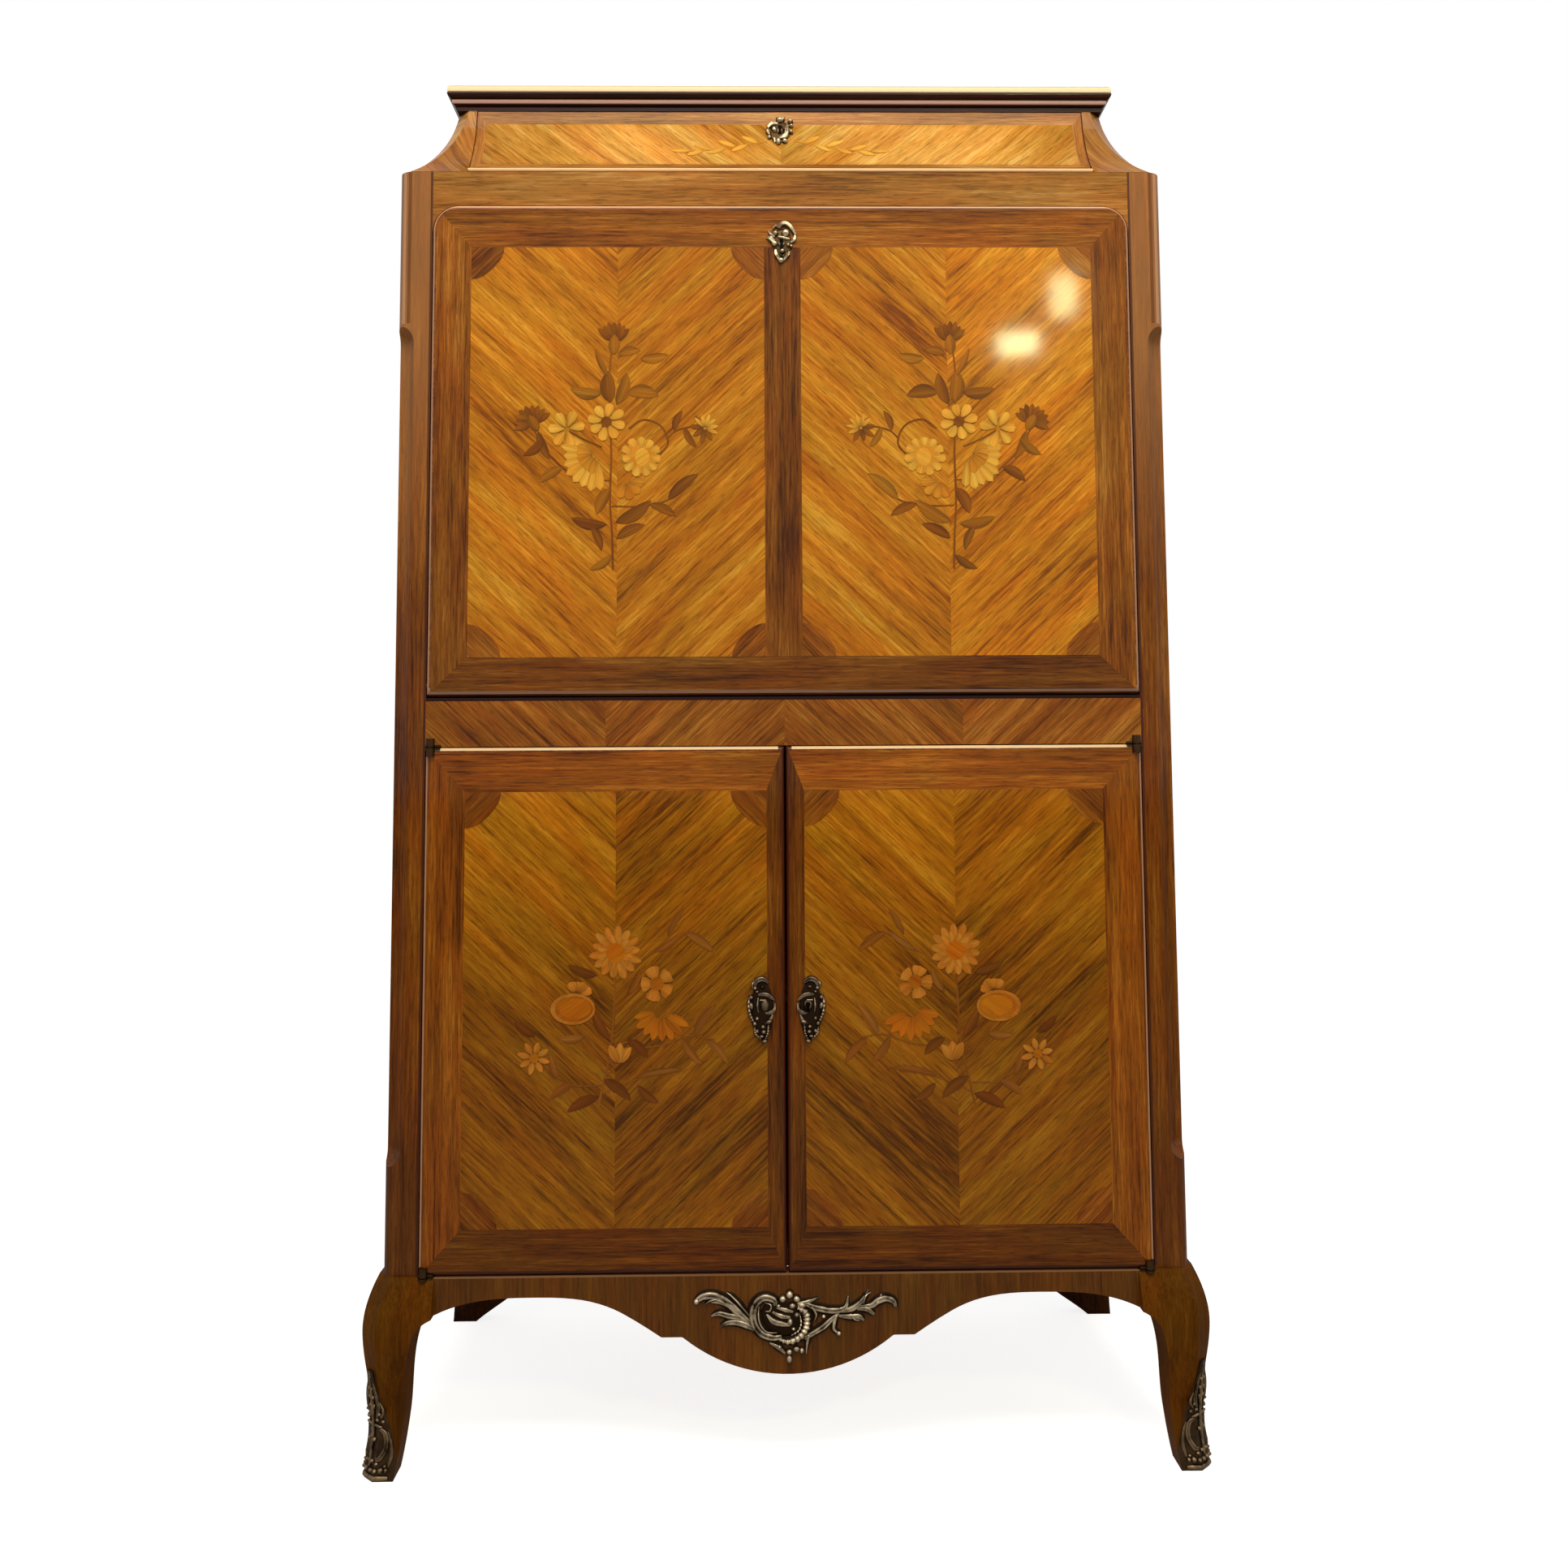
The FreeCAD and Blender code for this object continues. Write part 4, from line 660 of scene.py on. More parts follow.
def corner_disc(wall, a, b, da, db, radius):
    """Quarter disc at the corner a, b of a field, opening towards da, db: radius by angle, a little
    flatter half way round."""
    place, facing = wall
    s, t = grid(2, 25)
    angle = t * math.pi / 2
    reach = s * radius * (1 - DISC_FLAT * np.sin(2 * angle) ** 2)
    x, z = a + da * reach * np.cos(angle), b + db * reach * np.sin(angle)
    uv = veneer_map(x, z, -da * db * math.pi / 4)
    return skirted(place(x, z, np.full_like(x, 2 * LEAF)), uv, facing, 2 * LEAF, DISC_TONE)


def four_discs(wall, a0, a1, b0, b1, radius):
    """A quarter disc in each corner of a field."""
    return [corner_disc(wall, a, b, da, db, radius) for a, da in ((a0, 1), (a1, -1))
            for b, db in ((b0, 1), (b1, -1))]


def banded(name, wall, outer, width, band, field, body):
    """A matched field in mitred bands of one width, as two pieces."""
    inner = shrunk(outer, width)
    veneer(name + "_band_veneer", mitred_bands(wall, outer, inner), band, body)
    veneer(name + "_field_veneer", matched_field(wall, *inner), field, body)


print("leaf makers are ready")

# %% [markdown]
# ## The fall
# The fall's two fields stand either side of a stile. Its upper corners are rounded, so the bands
# there follow an arc: the top band is ruled between a straight inner edge and an outer edge that
# bends down at both ends, and each side band takes the other half of the arc.

# %% Fall veneer
panel_wall = front_wall(panel_y)
FIELD_IN, FIELD_OUT = 18.0, 304.5
FALL_FIELD, DOOR_FIELD = (753.5, 1157.5), (219.7, 624.8)
EDGE_ROUND, FALL_CORNER, FALL_FOOT = 4.0, 25.0, 5.0
FALL_DISC, DOOR_DISC = 32.0, 34.0
fall_low, fall_top = edges("fall_panel")[0][2], edges("fall_panel")[1][2]
fall_half = edges("fall_panel")[1][0]
edge_x, edge_z = fall_half - EDGE_ROUND, fall_top - EDGE_ROUND
corner_x, corner_z = fall_half - FALL_CORNER, fall_top - FALL_CORNER


def corner_arc(side, start, end, count=9):
    """Points of the rounded corner between two angles, side being -1 on the left."""
    angle = np.radians(np.linspace(start, end, count))
    reach = FALL_CORNER - EDGE_ROUND
    return np.stack([side * (corner_x + reach * np.cos(angle)), corner_z + reach * np.sin(angle)], -1)


band_low = fall_low + FALL_FOOT
fields, bands, discs = [], [], []
# The outer leaf of the right field is painted paler, a painted sheen of the light from the right.
for side, tones in ((-1, (1.0, 0.92)), (1, (0.94, 1.1))):
    a0, a1 = sorted((side * FIELD_IN, side * FIELD_OUT))
    fields += matched_field(panel_wall, a0, a1, *FALL_FIELD, tones=tones)
    discs += four_discs(panel_wall, a0, a1, *FALL_FIELD, FALL_DISC)
    outer = np.vstack([[(side * edge_x, band_low)], corner_arc(side, 0, 45)])
    inner = np.linspace((side * FIELD_OUT, FALL_FIELD[0]), (side * FIELD_OUT, FALL_FIELD[1]), len(outer))
    bands.append(ruled(panel_wall, outer, inner, UPRIGHT_GRAIN))
top_line = np.vstack([corner_arc(-1, 45, 90), corner_arc(1, 90, 45)])
top_inner = np.linspace((-FIELD_OUT, FALL_FIELD[1]), (FIELD_OUT, FALL_FIELD[1]), len(top_line))
# The lower band is painted darker, as painted shade.
bands += [ruled(panel_wall, top_line, top_inner, LEVEL_GRAIN, 1.05),
          leaf(panel_wall, [(-edge_x, band_low), (edge_x, band_low), (FIELD_OUT, FALL_FIELD[0]),
                            (-FIELD_OUT, FALL_FIELD[0])], LEVEL_GRAIN, 0.7),
          leaf(panel_wall, rectangle(-FIELD_IN, FIELD_IN, *FALL_FIELD), UPRIGHT_GRAIN, 0.8)]
veneer("fall_field_veneer", fields, field_gold, "fall")
veneer("fall_band_veneer", bands, band_brown, "fall")
veneer("fall_corner_veneer", discs, band_brown, "fall")
print("fall veneered to", edge_x, edge_z)

# %% [markdown]
# ## The doors
# Each door is one matched field in four mitred bands. The doors get less light and have darkened
# more, so they take the deeper pair of woods, partly their own colour and partly painted shade. The
# fields are painted darker below their upper edge and the lower bands darker, as painted shade, and
# the upper bands lighter, as painted light.

# %% Door veneer
door_low, door_high = edges("left_door")[0][2], edges("left_door")[1][2]
MEETING_EDGE = 3.5
DOORS = ((-1, "door_left"), (1, "door_right"))
for side, body in DOORS:
    a0, a1 = sorted((side * FIELD_IN, side * FIELD_OUT))
    inner = (a0, a1, *DOOR_FIELD)
    o0, o1 = sorted((side * MEETING_EDGE, side * edge_x))
    outer = (o0, o1, door_low + EDGE_ROUND, door_high - EDGE_ROUND)
    # The door field is painted darker towards its lower edge and middle, as painted shade.
    field = matched_field(panel_wall, *inner, tones=(1.0, 0.93), painted_shade_ramp=(0.70, 0.62, 1.0))
    veneer(body + "_field_veneer", field, field_amber, body)
    # The upper band is painted lighter, as painted light; the lower band and the band by the meeting edge are
    # painted darker, as painted shade.
    tones = (0.72, 1.5, *(1.35, 0.75)[::-side])
    veneer(body + "_band_veneer", mitred_bands(panel_wall, outer, inner, tones=tones), band_umber, body)
    veneer(body + "_corner_veneer", four_discs(panel_wall, *inner, DOOR_DISC), band_umber, body)
print("doors veneered between", door_low, door_high)

# %% [markdown]
# ## Drawer and rail
# The drawer's face is hollow. A veneerer presses a leaf into a hollow with a shaped block, and here
# the wall function bends the leaf to the cove, so that it needs more rows. The rail between fall and
# doors has a V under each half of the fall.

# %% Drawer and rail veneer
COVE_ROWS = 14
drawer_half = edges("drawer_front")[1][0]
drawer_low, drawer_top = edges("drawer_front")[0][2], edges("drawer_front")[1][2]
drawer_outer = (-drawer_half + 1.0, drawer_half - 1.0, drawer_low + 6.0, drawer_top - 1.0)
drawer_inner = (-drawer_half + 10.0, drawer_half - 10.0, drawer_low + 12.5, drawer_top - 15.0)
drawer_bands = mitred_bands(cove_wall, drawer_outer, drawer_inner, steps=COVE_ROWS)
veneer("drawer_band_veneer", drawer_bands, band_sand, "drawer")
drawer_field = matched_field(cove_wall, *drawer_inner, tones=(1.0, 1.03), rows=COVE_ROWS)
veneer("drawer_field_veneer", drawer_field, field_straw, "drawer", smooth=True)

rail_low, rail_high = edges("mid_rail")[0][2], edges("mid_rail")[1][2]
rail_half = edges("mid_rail")[1][0]
rail_leaves = [matched_field(front_wall(front_y), a0, a1, rail_low, rail_high - 3.2, tones=(1.12, 1.08))
               for a0, a1 in ((-rail_half, 0.0), (0.0, rail_half))]
veneer("mid_rail_veneer", sum(rail_leaves, []), band_brown, "carcase")
print("rail veneered between", rail_low, rail_high)

# %% [markdown]
# ## Sides, cove, top and small drawers
# The sides and the top are laid out as the front is, without flowers, and so are the two small
# drawers inside. The ends of the cove are hollow to the front, to the side and on the canted corner,
# and each face gets a leaf that leans in with the hollow.

# %% Side, cove, top and small drawer veneer
BAND, SMALL_BAND = 36.0, 12.0
side_low, side_high = edges("left_side_panel")
for side, label in SIDES:
    wall = side_wall(side)
    outer = (side_low[1], side_high[1], side_low[2], side_high[2])
    inner = shrunk(outer, BAND)
    lower, upper = (*inner[:3], rail_low), (*inner[:2], rail_high, inner[3])
    rail = leaf(wall, rectangle(*inner[:2], rail_low, rail_high), LEVEL_GRAIN, 0.96)
    discs = four_discs(wall, *lower, BAND) + four_discs(wall, *upper, BAND)
    bands = mitred_bands(wall, outer, inner) + [rail] + discs
    veneer(label + "_side_band_veneer", bands, band_umber, "carcase")
    fields = matched_field(wall, *lower) + matched_field(wall, *upper)
    veneer(label + "_side_field_veneer", fields, field_amber, "carcase")

COVE_CANT, COVE_EDGE, DIAGONAL = 12.0, 0.3, 0.707
cove_inner = edges("right_cove")[0][0]
s, t = grid(COVE_ROWS, 2)
rise = COVE_EDGE + s * (cove_rise - 2 * COVE_EDGE)
inset = cove_inset(rise)
slope = (cove_inset(rise + COVE_EDGE) - cove_inset(rise - COVE_EDGE)) / (2 * COVE_EDGE)
hollow_x, hollow_y = side_x - inset, front_y + inset
canted_x, canted_y = hollow_x - COVE_CANT, hollow_y + COVE_CANT
cove_faces = (
    (cove_inner + t * (canted_x - cove_inner), hollow_y, (0.0, -1.0), slope),
    (hollow_x - COVE_CANT * (1 - t), hollow_y + COVE_CANT * t, (DIAGONAL, -DIAGONAL), 2 * DIAGONAL * slope),
    (hollow_x, canted_y + t * (side_high[1] - canted_y), (1.0, 0.0), slope))
for side, label in SIDES:
    leaves = []
    for x, y, (out_x, out_y), lean in cove_faces:
        off = LEAF / np.sqrt(1 + lean ** 2)
        points = np.stack([side * (x + off * out_x), y + off * out_y, post_top + rise + off * lean], -1)
        uv = veneer_map(side * x + y, rise, UPRIGHT_GRAIN)
        # The left end is painted lighter than the right one, as painted light.
        leaves.append(skirted(points, uv, (side * out_x, out_y, 0.5), LEAF, 1.04 - 0.08 * side))
    veneer(label + "_cove_veneer", leaves, band_sand, "carcase")

TOP_EDGE, TOP_BACK = 6.0, 2.0
low, high = edges("top_board")
outer = (low[0] + TOP_EDGE, high[0] - TOP_EDGE, low[1] + TOP_EDGE, high[1] - TOP_BACK)
banded("top", top_wall(top_z), outer, BAND, band_umber, field_amber, "carcase")

for _, label in SIDES:
    low, high = edges("small_drawer_" + label)
    outer = shrunk((low[0], high[0], low[2], high[2]), 1.0)
    banded("small_drawer_" + label, front_wall(low[1]), outer, SMALL_BAND, band_brown, field_gold,
           "nest_drawer_" + label)

# %% [markdown]
# ## Inlaid flowers
# Floral marquetry is cut from many small leaves of pale and dark wood and let into the field. Each
# petal is shaded by dipping its root in hot sand, which scorches it brown. Here a petal is a grid
# whose half width swells and closes along its length, and the scorch is the shade attribute. A
# bouquet keeps its inlays by wood, and each lies a hair above the one before.

# %% Inlay woods and the bouquet
def inlay_woods(label, **palettes):
    """The woods of one bouquet by their kind: finer striped than the fields, with few pores."""
    return {kind: wood(label + "_" + kind, colours, stripe=160.0, pore=0.2, fleck=0.2)
            for kind, colours in palettes.items()}


bright = inlay_woods("bright", pale=[(216, 146, 42), (234, 166, 56), (244, 182, 72)],
                     orange=[(190, 112, 16), (214, 136, 30), (228, 152, 46)],
                     leaf=[(142, 82, 8), (168, 100, 14), (186, 118, 24)],
                     dark=[(116, 62, 6), (142, 80, 10), (162, 96, 16)])
# The door bouquets' woods are darker than the fall's, partly as painted shade, as the doors get less light.
dusky = inlay_woods("dusky", pale=[(170, 96, 20), (196, 118, 34), (210, 134, 48)],
                    orange=[(158, 82, 4), (184, 100, 8), (200, 114, 14)],
                    leaf=[(124, 68, 12), (146, 84, 22), (162, 100, 36)],
                    dark=[(98, 49, 4), (116, 60, 7), (130, 71, 13)])
HAIR = 0.004


def smooth_path(points, count):
    """Curve through the points: between two of them, the cubic whose slope at each is half the step
    between its neighbours."""
    p = np.asarray(points, float)
    p = np.vstack([2 * p[0] - p[1], p, 2 * p[-1] - p[-2]])
    place = np.linspace(0, len(p) - 3, count)
    i = np.minimum(place.astype(int), len(p) - 4)
    f = (place - i)[:, None]
    a, b, c, d = p[i], p[i + 1], p[i + 2], p[i + 3]
    return 0.5 * (2 * b + (c - a) * f + (2 * a - 5 * b + 4 * c - d) * f ** 2
                  + (3 * b - a - 3 * c + d) * f ** 3)


def across_path(path):
    """Unit steps to the left of a flat path."""
    step = np.gradient(path, axis=0)
    step /= np.linalg.norm(step, axis=1, keepdims=True)
    return np.stack([-step[:, 1], step[:, 0]], -1)


class Bouquet:
    """Inlays on a wall, kept by the wood they are cut from. Drawn for the left panel, and mirrored
    on the right one."""

    def __init__(self, wall, woods, mirror=1):
        self.wall, self.woods, self.mirror, self.lift, self.cut = wall, woods, mirror, 2 * LEAF, {}

    def lay(self, kind, a, b, angle, tone, shade):
        """One inlay from its places across and up, a hair above the one before."""
        place, facing = self.wall
        self.lift += HAIR
        a = self.mirror * a
        uv = veneer_map(a, b, self.mirror * angle)
        self.cut.setdefault(kind, []).append(
            skirted(place(a, b, np.full_like(a, self.lift)), uv, facing, LEAF, tone, shade))

    def petal(self, kind, root, tip, width, bend=0.0, ends=(0.7, 0.4), scorch=0.6, split=0.0, rim=0.15):
        """Petal or leaf: half its width grows as a power of the way from the root and closes as a
        power of the way to the tip; bend bows it sideways, split darkens one half, rim the edge."""
        s, t = grid(9, 5)
        t = 2 * t - 1
        root, run = np.asarray(root, float), np.asarray(tip, float) - np.asarray(root, float)
        left = np.array([-run[1], run[0]]) / np.linalg.norm(run)
        p, q = ends
        peak = p / (p + q)
        half = width / 2 * (s / peak) ** p * ((1 - s) / (1 - peak)) ** q
        sideways = t * half + 4 * bend * s * (1 - s)
        a, b = root[0] + s * run[0] + sideways * left[0], root[1] + s * run[1] + sideways * left[1]
        shade = np.clip(scorch * (1 - s) ** 2 + split * (t > 0) + rim * t ** 2, 0, 1)
        self.lay(kind, a, b, math.atan2(run[1], run[0]), rng.uniform(0.94, 1.06), shade)

    def leaf(self, root, tip, width, bend=0.0, kind="leaf", split=0.25):
        """Petal that is pointed at both ends and darker on one half."""
        self.petal(kind, root, tip, width, bend, (0.75, 0.85), 0.2, split, 0.22)

    def stem(self, points, width=1.5, kind="dark"):
        """Ribbon of even width to either side of a smooth path."""
        path = smooth_path(points, 8 * len(points))
        share = np.array([-0.5, 0.0, 0.5])[None, :, None]
        ribbon = path[:, None] + share * width * across_path(path)[:, None]
        run = path[-1] - path[0]
        self.lay(kind, ribbon[..., 0], ribbon[..., 1], math.atan2(run[1], run[0]), 0.9, 0.1)

    def disc(self, kind, centre, radii, shade=0.0):
        """Oval: a square grid pressed round, so that its rim is one ring of points."""
        s, t = 2 * np.array(grid(9, 9)) - 1
        a = centre[0] + radii[0] * s * np.sqrt(1 - t ** 2 / 2)
        b = centre[1] + radii[1] * t * np.sqrt(1 - s ** 2 / 2)
        self.lay(kind, a, b, 0.6, 1.0, shade)

    def ring(self, kind, centre, reach, count, width, aim=90.0, spread=360.0, inner=0.15, **shape):
        """Petals at equal angles about a centre, within a spread that is aimed one way."""
        centre = np.array(centre)
        turns = np.radians(aim + spread * ((np.arange(count) + 0.5) / count - 0.5))
        for turn, grow in zip(turns, rng.uniform(0.92, 1.06, count)):
            way = np.array([math.cos(turn), math.sin(turn)])
            self.petal(kind, centre + inner * reach * way, centre + grow * reach * way, width, **shape)

    def finish(self, name, body):
        """One piece for each wood."""
        for kind, patches in self.cut.items():
            make(name + "_" + kind, patches, self.woods[kind], body, smooth=False, weld=True)


print("inlay woods", list(bright))

# %% [markdown]
# ## The bouquets on the fall
# A carnation bud on top, dark leaves, a daisy in the middle, two fanned carnations, a cornflower on
# the left, a small star on a curling stem on the right, and more leaves round the stalk.

# %% Fall bouquets
ROUND, POINT = (0.7, 0.3), (0.6, 0.75)


def fall_bouquet(b):
    """Stems first, then leaves, then the flowers from the back to the front."""
    b.stem([(-165, 838), (-166, 872), (-168, 905), (-167, 949), (-168, 975)], 2.0)
    b.stem([(-168, 995), (-169, 1020), (-168, 1045), (-164, 1066)], 1.6)
    b.stem([(-167, 925), (-198, 928), (-226, 950), (-246, 982)])
    b.stem([(-166, 900), (-140, 900), (-112, 906), (-90, 926)])
    b.stem([(-150, 976), (-136, 985), (-119, 979), (-112, 962), (-122, 948)], 1.8)
    b.stem([(-113, 966), (-104, 974), (-90, 978), (-78, 977)])
    b.stem([(-176, 958), (-194, 966), (-208, 974)])
    for root, tip, width, bend in (
            ((-168, 1002), (-170, 1034), 15, 2), ((-162, 1000), (-152, 1032), 12, -2),
            ((-176, 1012), (-207, 1016), 12, 3), ((-152, 1012), (-121, 1009), 14, 3),
            ((-170, 1028), (-183, 1056), 6, 1), ((-160, 1050), (-139, 1054), 9, 2),
            ((-139, 1046), (-112, 1050), 10, -2), ((-168, 918), (-181, 892), 12, -2),
            ((-171, 882), (-206, 889), 11, 3), ((-163, 884), (-128, 906), 13, -3),
            ((-162, 868), (-134, 882), 10, 2), ((-112, 906), (-82, 932), 11, 2),
            ((-130, 902), (-104, 890), 9, 2), ((-238, 974), (-226, 946), 9, -2),
            ((-232, 966), (-252, 950), 9, 2), ((-214, 938), (-236, 924), 10, -2),
            ((-166, 852), (-188, 838), 8, 2), ((-186, 880), (-176, 856), 8, 2),
            ((-106, 974), (-98, 994), 7, 2), ((-96, 978), (-84, 958), 7, -2)):
        b.leaf(root, tip, width, bend, rng.choice(["leaf", "dark"], p=[0.55, 0.45]))
    b.ring("dark", (-164, 1062), 21, 7, 7, 92, 110, 0.1, ends=POINT)
    b.leaf((-165, 1050), (-164, 1070), 11, 0, "leaf")
    b.ring("dark", (-243, 982), 19, 9, 7, 115, 190, 0.1, ends=POINT)
    b.leaf((-238, 974), (-247, 990), 10, 0, "leaf")
    b.ring("dark", (-76, 977), 15, 5, 5, 215, 210, 0.1, ends=POINT)
    b.ring("pale", (-76, 977), 14, 6, 4, 55, 190, 0.1, ends=POINT)
    b.ring("pale", (-180, 950), 35, 9, 9, 212, 140, 0.15, ends=ROUND, scorch=0.35, rim=0.3)
    b.ring("orange", (-182, 952), 20, 6, 8, 208, 120, 0.2, ends=ROUND, scorch=0.4, rim=0.3)
    b.disc("orange", (-138, 949), (15, 17), 0.05)
    b.ring("pale", (-138, 949), 20, 11, 8, 90, 360, 0.45, ends=ROUND, scorch=0.25, rim=0.25)
    b.disc("pale", (-137, 948), (7, 9), 0.05)
    b.ring("orange", (-152, 924), 18, 4, 9, 300, 150, 0.1, ends=ROUND, scorch=0.4, rim=0.25)
    b.ring("pale", (-210, 976), 19, 6, 9, 150, 330, 0.1, ends=(0.9, 0.35), scorch=0.4, rim=0.25)
    b.ring("pale", (-172, 983), 19, 8, 9, 100, 360, 0.25, ends=(0.8, 0.45), scorch=0.25, rim=0.2)
    b.disc("dark", (-172, 983), (5.2, 5.2), 0.2)


for side, label in SIDES:
    bouquet = Bouquet(panel_wall, bright, -side)
    fall_bouquet(bouquet)
    bouquet.finish("fall_" + label + "_flowers", "fall")

# %% [markdown]
# ## The bouquets on the doors
# A sunflower above, a five-petalled blossom, a cup-shaped flower, a half-open daisy, a bud and a
# star, on thin stems with slim pale leaves. The woods are more alike here, so the flowers are
# orange rather than pale.

# %% Door bouquets
def door_bouquet(b):
    """Stems first, then pale and dark leaves, then the flowers."""
    b.stem([(-177, 330), (-172, 352), (-165, 385), (-162, 430), (-161, 465)], 2.0, "leaf")
    for points in ([(-173, 350), (-205, 352), (-234, 372)], [(-168, 372), (-186, 392), (-200, 412)],
                   [(-164, 386), (-142, 394), (-122, 412)], [(-163, 402), (-143, 424), (-124, 442)],
                   [(-165, 384), (-122, 386), (-92, 395), (-68, 392)], [(-160, 446), (-124, 474), (-94, 490)],
                   [(-172, 352), (-162, 368), (-158, 380)], [(-174, 342), (-146, 354), (-112, 362)]):
        b.stem(points, 1.3, "leaf")
    for root, tip, width, bend in (
            ((-112, 488), (-97, 514), 6, 1), ((-95, 491), (-69, 473), 9, 2),
            ((-124, 473), (-98, 491), 6, -1), ((-87, 395), (-66, 425), 9, 2),
            ((-98, 394), (-80, 369), 8, -2), ((-76, 392), (-55, 369), 8, 2),
            ((-142, 357), (-97, 364), 6, 2), ((-200, 352), (-222, 338), 8, -2),
            ((-214, 356), (-222, 380), 7, 2), ((-190, 396), (-214, 394), 8, 2),
            ((-150, 434), (-138, 458), 7, -2)):
        b.leaf(root, tip, width, bend, "leaf", 0.15)
    for root, tip, width, bend in (
            ((-172, 356), (-146, 336), 10, 2), ((-176, 340), (-206, 326), 10, -2),
            ((-166, 392), (-182, 420), 9, 2), ((-178, 452), (-206, 462), 9, 2),
            ((-150, 392), (-130, 376), 9, 2), ((-236, 396), (-256, 412), 8, 2),
            ((-140, 350), (-120, 334), 8, -2)):
        b.leaf(root, tip, width, bend, "dark", 0.2)
    b.ring("orange", (-118, 417), 28, 8, 9, 262, 165, 0.2, ends=POINT, scorch=0.3)
    b.ring("pale", (-161, 473), 25, 14, 8, 97, 360, 0.3, ends=(0.7, 0.6), scorch=0.2, rim=0.3)
    b.ring("pale", (-161, 473), 18, 12, 9, 90, 360, 0.1, ends=POINT, scorch=0.2, rim=0.25)
    b.disc("orange", (-161, 473), (9, 9), 0.0)
    b.ring("pale", (-122, 444), 16, 5, 14, 110, 360, 0.2, ends=(0.8, 0.25), scorch=0.3, rim=0.25)
    b.disc("orange", (-122, 444), (6.5, 6.5), 0.25)
    b.ring("pale", (-198, 432), 16, 4, 9, 70, 110, 0.3, ends=ROUND, scorch=0.5)
    b.disc("pale", (-201, 421), (21, 14.5), 0.15)
    b.disc("orange", (-200, 421), (18, 12), 0.25)
    b.disc("orange", (-199, 421.5), (15, 9.5), 0.0)
    b.ring("pale", (-158, 371), 19, 3, 9, 84, 100, 0.0, ends=POINT, scorch=0.4)
    b.ring("pale", (-237, 376), 16, 8, 6, 98, 360, 0.25, ends=POINT, scorch=0.3)
    b.disc("orange", (-237, 376), (4.5, 4.5), 0.1)


for side, body in DOORS:
    bouquet = Bouquet(panel_wall, dusky, -side)
    door_bouquet(bouquet)
    bouquet.finish(body + "_flowers", body)

# %% [markdown]
# ## The spray on the drawer
# A faint pair of leafy twigs runs out from the escutcheon along the drawer. It is drawn once and
# mirrored, and the cove wall bends it to the hollow face.

# %% Drawer spray
for side, label in SIDES:
    spray = Bouquet(cove_wall, bright, -side)
    spray.stem([(-14, 1283), (-40, 1278), (-66, 1272), (-92, 1270)], 1.1, "orange")
    for x, z, dx, dz in ((-24, 1281, -16, 9), (-34, 1279, -16, -9), (-46, 1276, -18, 8), (-56, 1274, -17, -8),
                         (-70, 1271, -18, 7), (-78, 1270, -17, -6), (-92, 1270, -18, 0)):
        spray.leaf((x, z), (x + dx, z + dz), 6.0, 0.0, "pale", 0.15)
    spray.finish("drawer_" + label + "_spray", "drawer")

# %% [markdown]
# ## Chased bronze
# Rococo mounts are built from a few strokes: a rib that swells and tapers along a curve, grooved as
# an acanthus leaf or rippled as a gadroon, and a bead. A rib is half an oval carried along a path,
# and a bead is a half-buried oval. Both reach a little into the wood, so that nothing floats. The
# shade attribute grows from the crest down to the root, which leaves the patina in the hollows and
# the crests bright, partly as painted highlight.

# %% Ribs and beads
ROOT, FOOT = 0.8, 0.9
AROUND = 16


def rib(wall, points, width, height, swell, groove=0.0, ribs=0, lift=0.0, dark=0.0):
    """Half an oval across a smooth path: swell scales it along the way, groove presses a hollow into
    its crest, and ribs ripple it. The first and last rows are single points."""
    path = smooth_path(points, 9 * len(points))
    s = np.linspace(0, 1, len(path))
    size = np.interp(s, np.linspace(0, 1, len(swell)), swell)
    ripple = 1 + (0.2 * np.cos(2 * math.pi * ribs * s) if ribs else 0 * s)
    turn = -np.linspace(0, 2 * math.pi, AROUND, endpoint=False)
    crest = np.maximum(np.sin(turn), 0)
    side = (width / 2 * size * ripple)[:, None] * np.cos(turn)
    ab = path[:, None] + side[..., None] * across_path(path)[:, None]
    crown = crest ** 0.8 * (1 - 1.4 * groove * np.exp(-(np.cos(turn) / 0.35) ** 2))
    h = lift + (height * size * ripple)[:, None] * crown + ROOT * np.minimum(np.sin(turn), 0)
    ab = np.concatenate([np.broadcast_to(path[:1, None], (1, AROUND, 2)), ab,
                         np.broadcast_to(path[-1:, None], (1, AROUND, 2))])
    h = np.pad(h, ((1, 1), (0, 0)), constant_values=lift)
    # Dark towards the root as patina, bright on the crest partly as painted highlight.
    shade = 0.95 * (1 - crest) + 1.9 * groove * np.exp(-(np.cos(turn) / 0.3) ** 2) * (crest > 0) + dark
    shade = np.broadcast_to(np.clip(shade, 0, 1), h.shape)
    return patch(wall[0](ab[..., 0], ab[..., 1], h), shade=shade, wrap=True)


